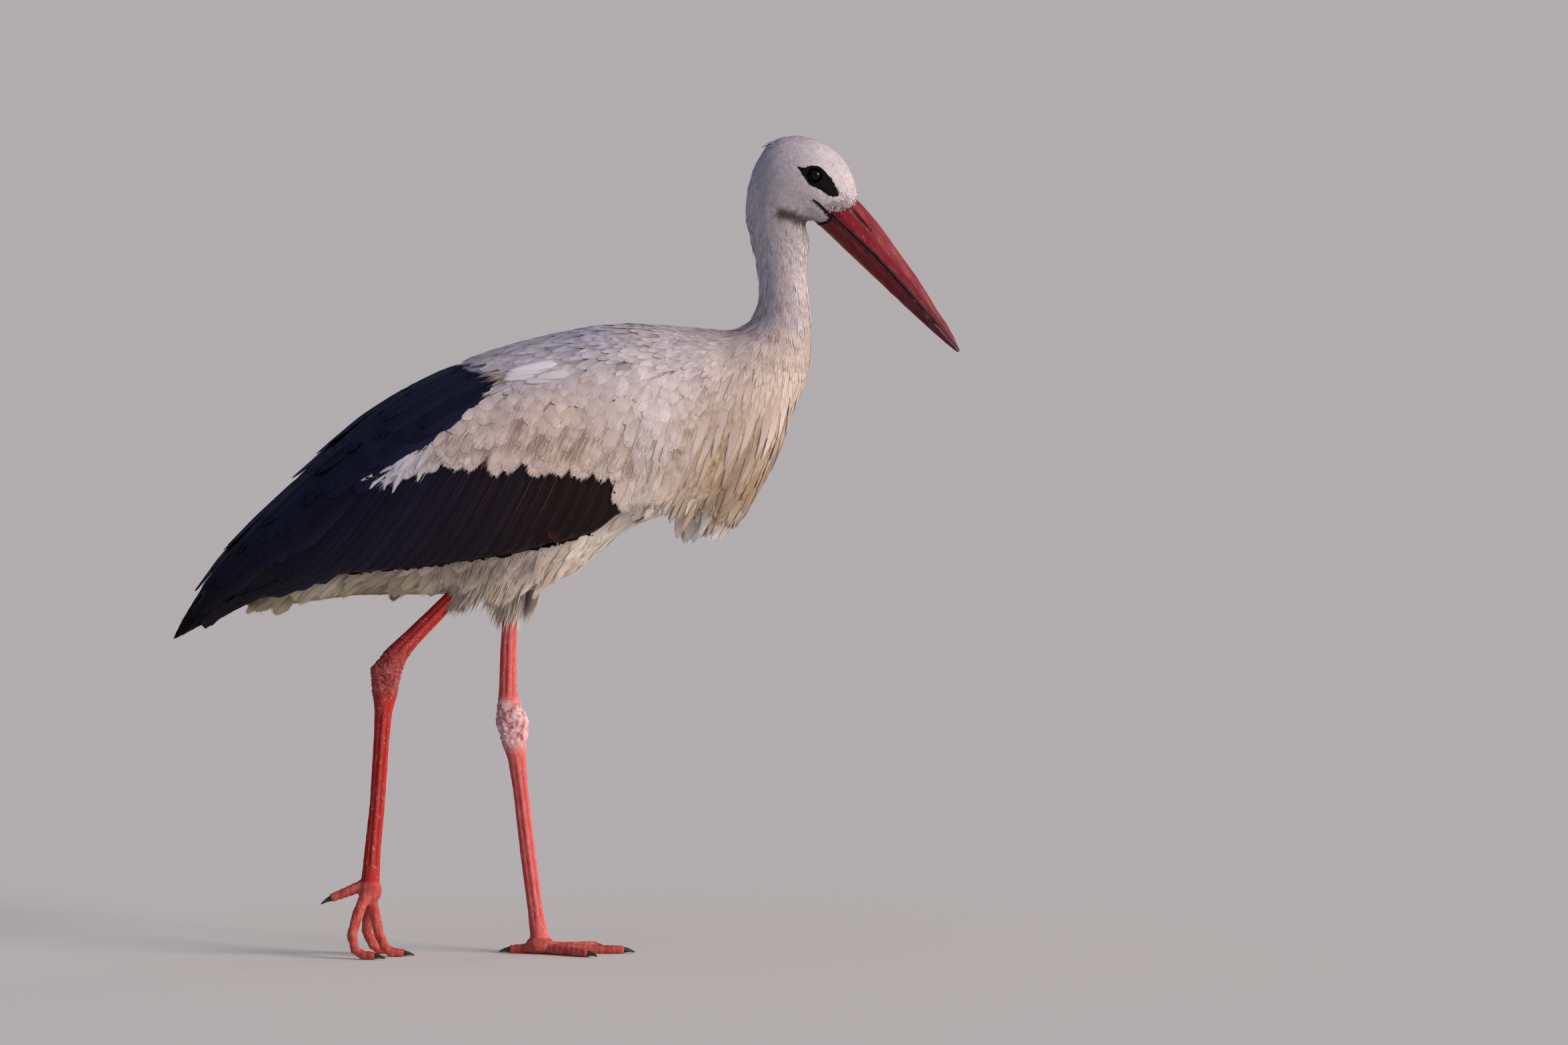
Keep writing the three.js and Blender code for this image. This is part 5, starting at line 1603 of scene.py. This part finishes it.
def lid(side):
    """The bare rim of an eye: from inside the lid, up over its edge and down to the face."""
    eye, sign = EYE[side], SIDES[side]
    turns, radius = 72, EYE_RADIUS
    profile = [(0.80, -0.35), (0.88, 0.05), (0.905, 0.45), (0.95, 0.80), (1.02, 0.85), (1.09, 0.55),
               (1.16, -0.6)]
    verts, spokes = [], np.linspace(0, 2 * math.pi, turns, endpoint=False)
    for r, up in profile:
        for a in spokes:
            corner = 1 + 0.10 * max(0, math.cos(a + 0.75)) ** 8 + 0.10 * max(0, math.cos(a - 2.55)) ** 8
            reach = r * radius * corner
            flat = np.array([math.cos(a), math.sin(a)]) * reach
            dome = math.sqrt(max(radius ** 2 - min(reach, radius * 0.985) ** 2, 0))
            verts.append([eye[0] + flat[0], eye[1] + sign * (dome + up * MM), eye[2] + flat[1]])
    return np.array(verts), tube(len(profile), turns), np.tile(BARE_BLACK, (len(verts), 1))


def bare_patch(side):
    """The bare black skin round an eye: finely pebbled, a little proud of the skin under the feathers."""
    sign, spokes, rings = SIDES[side], 220, 16
    flat = []
    for a in np.linspace(0, 2 * math.pi, spokes, endpoint=False):
        way = np.array([math.cos(a), math.sin(a)])
        far = 0.0
        for p, q in zip(PATCH, np.roll(PATCH, -1, 0)):
            e = q - p
            det = way[0] * -e[1] + e[0] * way[1]
            if abs(det) > 1e-12:
                t = (p[0] * -e[1] + e[0] * p[1]) / det
                along = (way[0] * p[1] - way[1] * p[0]) / det
                if t > 0 and 0 <= along <= 1:
                    far = max(far, t)
        flat.append([way * mix(0.9 * EYE_RADIUS, far + 0.5 * MM, (k / rings) ** 0.9)
                     for k in range(rings + 1)])
    flat = np.array(flat)
    verts = []
    for i in range(spokes):
        for k in range(rings + 1):
            f = flat[i, k]
            place, out = face_point(f, sign)
            pebbles = 0.14 * noise.noise(Vector((f[0], f[1], 0)) * 900)
            up = 0.45 * (1 - (k / rings) ** 6) - 0.6 * (k / rings) ** 10 + pebbles
            near = np.linalg.norm(f)
            rim = EYE[side][1] + sign * math.sqrt(max(EYE_RADIUS ** 2 - min(near, EYE_RADIUS) ** 2, 0))
            p = place + out * up * MM
            if near < 1.35 * EYE_RADIUS:
                p[1] = mix(p[1], max(rim * sign + 0.5 * MM, p[1] * sign) * sign,
                           1 - float(smooth(near, EYE_RADIUS, 1.35 * EYE_RADIUS)))
            verts.append(p)
    index = np.arange(len(verts)).reshape(spokes, rings + 1)
    return np.array(verts), web(np.vstack([index, index[:1]])), np.tile(BARE_BLACK, (len(verts), 1))


def skin_material():
    """Scales, creases and flecks on the red legs, and plain dark leather on the face."""
    s = Shader("skin", Specular_IOR_Level=0.18)
    place = s.place(1.0, 1.0, 0.70)
    cells = s.cells(760.0, place, "DISTANCE_TO_EDGE")
    small = s.cells(900.0, s.place())
    flecks = s.noise(900.0, 4.0, s.place(1.0, 1.0, 0.35), 0.65)
    cracks = s.ramp(cells, 0.0, 0.12)
    colour = s.blend(s.blend(s.tint(), (0.62, 0.42, 0.40), 0.42, "MULTIPLY"), s.tint(), cracks)
    colour = s.blend(colour, (0.80, 0.52, 0.47), s.maths("MULTIPLY", s.ramp(flecks, 0.55, 0.68, 0.0, 0.75),
                                                              s.ramp(s.noise(60.0, 2.0), 0.42, 0.60)))
    red = s.node("SeparateColor", 0, [("Color", s.tint())])
    blue = s.node("SeparateColor", 2, [("Color", s.tint())])
    leg = s.ramp(s.maths("SUBTRACT", red, blue), 0.12, 0.3)
    colour = s.blend(s.tint(), colour, leg)
    height = s.maths("ADD", s.maths("MULTIPLY", cracks, s.maths("MULTIPLY", leg, 0.6)),
                     s.maths("MULTIPLY", small, 0.35))
    rough = s.maths("MAXIMUM", s.ramp(flecks, 0.3, 0.7, 0.42, 0.62), s.ramp(red, 0.004, 0.02, 0.90, 0.0))
    return s.finish(Base_Color=colour, Roughness=rough, Normal=s.bump(height, 0.0006, 0.6))


def skin_piece():
    parts = [body_skin(), leg_skin()]
    for side, sign in SIDES.items():
        parts.append(lid(side))
        parts.append(bare_patch(side))
        parts.append(fold(GAPE, sign, 1.35 * MM, 26, np.array([0.006, 0.003, 0.003])))
        parts.append(fold(FLAP, sign, 1.25 * MM, 22, np.array([0.008, 0.004, 0.005])))
    count, verts, tris, tints = 0, [], [], []
    for v, t, c in parts:
        verts.append(v)
        tris.append(t + count)
        tints.append(c)
        count += len(v)
    mesh = new_mesh("skin", np.concatenate(verts), np.concatenate(tris))
    paint(mesh, np.concatenate(tints))
    wear(mesh, skin_material(), "leg_skin", "head", "neck", "mantle", "breast_plumes", *LEGS)


# ---------------------------------------------------------------- eyes, bill and claws

def eyeball(side):
    """An eyeball with a bulging cornea; dark brown iris round a black pupil."""
    eye, sign = EYE[side], SIDES[side]
    rings, turns = 40, 64
    verts, tints = [], []
    for i in range(rings + 1):
        a = math.pi * i / rings
        for j in range(turns):
            b = 2 * math.pi * j / turns
            r = EYE_RADIUS * (0.985 + 0.04 * math.exp(-(a / 0.62) ** 4))
            verts.append([eye[0] + r * math.sin(a) * math.cos(b), eye[1] + sign * r * math.cos(a),
                          eye[2] + r * math.sin(a) * math.sin(b)])
            iris = smooth(a, 0.42, 0.5) * (1 - smooth(a, 0.95, 1.05))
            rays = 0.75 + 0.25 * math.sin(b * 37 + 3 * math.sin(b * 5))
            tints.append(mix([0.004, 0.004, 0.005], [0.007 * rays, 0.0045 * rays, 0.004 * rays],
                             float(iris)))
    mesh = new_mesh(f"{side}_eyeball", verts, tube(rings + 1, turns))
    paint(mesh, tints)
    s = Shader("eye", Roughness=0.06, Specular_IOR_Level=0.20)
    colour = s.blend(s.tint(), (0.5, 0.4, 0.35), s.ramp(s.noise(1500.0), 0.4, 0.7, 0, 0.5), "MULTIPLY")
    rough = s.ramp(s.noise(400.0), 0.3, 0.7, 0.04, 0.09)
    wear(mesh, s.finish(Base_Color=colour, Roughness=rough), "eye", f"{side}_eye")


BILL_TIP = spot("bill_upper", 1.0, 0.0)
BILL_BASE = EYE["left"] * np.array([1, 0, 1]) + np.array([30, 0, -27]) * MM
NOSTRIL = np.array([(35.0, -32.0), (44.0, -42.5), (53.5, -53.5)]) * MM
GROOVE = np.array([(53.5, -53.5), (75.0, -79.0), (100.0, -109.0)]) * MM


def bill_material():
    """Red horn, scraped along its length, with a dull grey tip."""
    s = Shader("bill_horn", Specular_IOR_Level=0.25)
    angle = math.atan2(BILL_BASE[2] - BILL_TIP[2], BILL_TIP[0] - BILL_BASE[0])
    source = s.node("TexCoord", "Object")
    turned = s.node("Mapping", links=[("Vector", source), ("Rotation", (0, -angle, 0))])
    long = s.node("Mapping", links=[("Vector", turned), ("Scale", (30.0, 260.0, 260.0))])
    short = s.node("Mapping", links=[("Vector", turned), ("Scale", (120.0, 500.0, 500.0))])
    streaks, scratches = s.noise(1.0, 5.0, long, 0.6, 0.6), s.noise(1.0, 6.0, short, 0.7, 1.2)
    chips = s.noise(240.0, 5.0, None, 0.65, 1.0)
    colour = s.blend(s.tint(), (0.45, 0.30, 0.30), s.ramp(streaks, 0.45, 0.7, 0.0, 0.7), "MULTIPLY")
    colour = s.blend(colour, (0.34, 0.13, 0.15), s.ramp(scratches, 0.60, 0.66, 0.0, 0.6))
    colour = s.blend(colour, (0.035, 0.012, 0.012), s.ramp(chips, 0.60, 0.66, 0.0, 0.8))
    rough = s.ramp(streaks, 0.3, 0.7, 0.38, 0.58)
    height = s.maths("ADD", streaks, s.maths("MULTIPLY", scratches, 0.8))
    return s.finish(Base_Color=colour, Roughness=rough, Normal=s.bump(height, 0.0005, 0.55))


def bill(material):
    for node in ("bill_upper", "bill_lower"):
        v, t, _ = arrays(NODES[node].data)
        verts, tris, normals = remeshed(v, t, 0.8 * MM, 3)
        way = BILL_TIP - BILL_BASE
        along = ((verts - BILL_BASE) @ way / (way @ way)).clip(0, 1)
        rough = np.array([noise.fractal(Vector(p) * 90.0, 1.0, 2.0, 4) for p in verts.tolist()])
        side = smooth(np.abs(normals[:, 1]), 0.2, 0.6)
        lift = 0.16 * MM * rough
        tint = mix(BILL_RED, BILL_RED * 0.75 + 0.004, smooth(along, 0.35, 0.8)[:, None])
        tip = smooth(along + 0.06 * rough, 0.72, 0.96)
        tint = mix(tint, (0.17, 0.035, 0.058), (tip * 0.75)[:, None])
        if node == "bill_upper":
            slit, where = to_line(from_eye(verts), NOSTRIL)
            trough, further = to_line(from_eye(verts), GROOVE)
            ends = np.sin(math.pi * np.clip(where, 0.06, 0.94)) ** 0.4
            shaded_hollow = np.exp(-(slit / (1.5 * MM)) ** 2) * side * ends
            lift -= 1.6 * MM * shaded_hollow + 0.55 * MM * np.exp(-(trough / (2.2 * MM)) ** 2) * side * (1 - further)
            # The nostril slit is painted near-black: painted shade inside it.
            tint = mix(tint, (0.010, 0.004, 0.004), np.clip(shaded_hollow * 1.3, 0, 1)[:, None])
            # Lighter red along the top and front of the upper bill: a painted highlight where the light
            # falls.
            painted_ridge_highlight = smooth(normals[:, 2] + normals[:, 0], 0.9, 1.35)
            tint = mix(tint, BILL_RED * 1.2, (painted_ridge_highlight * (1 - tip) * 0.6)[:, None])
        else:
            tint = mix(tint * 0.62, np.array([0.12, 0.026, 0.034]),
                       (0.45 * smooth(rough, 0.0, 0.5))[:, None])
        # A near-black line where the halves meet, painted shade in the gap between them, widest near its
        # middle; and a paler worn band beside it on the upper half.
        other = solid_of("bill_lower" if node == "bill_upper" else "bill_upper")
        gap = np.array([other.find_nearest(p)[3] for p in verts.tolist()])
        wide = (2.1 + 1.4 * smooth(rough, -0.1, 0.6) + 3.2 * np.exp(-((along - 0.52) / 0.10) ** 2)
                * smooth(rough, 0.0, 0.4)) * MM
        wide = wide * (1 - 0.5 * smooth(along, 0.65, 0.92))
        tint = mix(tint, (0.012, 0.005, 0.006), ((1 - smooth(gap, 0.5 * wide, 1.5 * wide)) * 0.95)[:, None])
        worn = np.exp(-((gap - 4.5 * MM) / (1.8 * MM)) ** 2) * smooth(rough, -0.15, 0.35)
        worn = worn * (node == "bill_upper")
        tint = mix(tint, (0.24, 0.080, 0.085), (0.55 * worn * smooth(along, 0.02, 0.12))[:, None])
        mesh = new_mesh(node + "_horn", verts + normals * lift[:, None], tris)
        paint(mesh, tint)
        wear(mesh, material, "bill_horn", node)


def claw_material():
    s = Shader("claw_horn", Specular_IOR_Level=0.45)
    grain = s.noise(400.0, 4.0, s.place(0.3, 1.0, 1.0), 0.6)
    colour = s.blend((0.020, 0.014, 0.012), (0.11, 0.075, 0.06), s.ramp(grain, 0.4, 0.75))
    rough = s.ramp(grain, 0.3, 0.7, 0.35, 0.55)
    return s.finish(Base_Color=colour, Roughness=rough, Normal=s.bump(grain, 0.0003, 0.4))


print("skin")
skin_piece()
for each in SIDES:
    eyeball(each)
bill(bill_material())
CLAW = claw_material()
for name, node in NODES.items():
    if name.endswith("_claw"):
        node.data.materials.clear()
        node.data.materials.append(CLAW)

print("coat")
head_coat()
neck_coat()
breast_coat()
mantle_coat()
belly_coat()
thigh_coat()
tail_coat()
loose_tuft()
for wing in SIDES:
    covert_coat(wing)
    flight_coat(wing)
    scapular_coat(wing)


# ---------------------------------------------------------------- camera, lights and floor

def aimed(obj, at):
    obj.rotation_euler = (Vector(at) - obj.location).to_track_quat("-Z", "Y").to_euler()
    bpy.context.scene.collection.objects.link(obj)
    return obj


low, high = (np.array(c) for c in cad_box)
AIM = 0.777, 0.529  # where the camera looks, by the share of the bird's length and of its height
TARGET = np.array([mix(low[0], high[0], AIM[0]), 0.0, AIM[1] * high[2]])
RISE, REACH = math.radians(4.0), 13.0
SENSOR, FRAME_WIDTH = 36.0, 1.5174  # in millimetres, and in metres at the bird
lens = bpy.data.cameras.new("camera")
lens.sensor_width, lens.lens = SENSOR, SENSOR * REACH / FRAME_WIDTH
lens.clip_end = 500
camera = bpy.data.objects.new("camera", lens)
camera.location = TARGET + REACH * np.array([0.0, -math.cos(RISE), math.sin(RISE)])
aimed(camera, TARGET)
bpy.context.scene.camera = camera

for name, way, spread_angle, power, colour in (
        ("key", (1.0, -0.50, 0.38), 32.0, 3.3, (1.0, 0.87, 0.75)),
        ("sky", (-0.2, -0.3, 1.0), 80.0, 0.34, (0.68, 0.76, 1.0)),
        ("rim", (0.9, 0.8, 0.35), 25.0, 0.4, (1.0, 0.90, 0.80))):
    lamp = bpy.data.lights.new(name, "SUN")
    lamp.angle, lamp.energy, lamp.color = math.radians(spread_angle), power, colour
    obj = bpy.data.objects.new(name, lamp)
    obj.location = Vector(way) * 3
    aimed(obj, (0, 0, 0))

world = bpy.data.worlds.new("world")
world.use_nodes = True
sky = world.node_tree.nodes["Background"].inputs
sky["Color"].default_value, sky["Strength"].default_value = (0.64, 0.71, 1.0, 1.0), 0.19
bpy.context.scene.world = world

ground = Shader("ground", Roughness=0.9)
earth = ground.blend((0.78, 0.76, 0.72), (0.82, 0.80, 0.76), ground.noise(6.0, 4.0))
FLOOR = 150.0
corners = [(-FLOOR, -FLOOR, 0), (FLOOR, -FLOOR, 0), (FLOOR, FLOOR, 0), (-FLOOR, FLOOR, 0)]
floor = link("floor", new_mesh("floor", corners, [(0, 1, 2), (0, 2, 3)], False))
floor.data.materials.append(ground.finish(Base_Color=earth))

bpy.context.scene.view_settings.view_transform = "Standard"
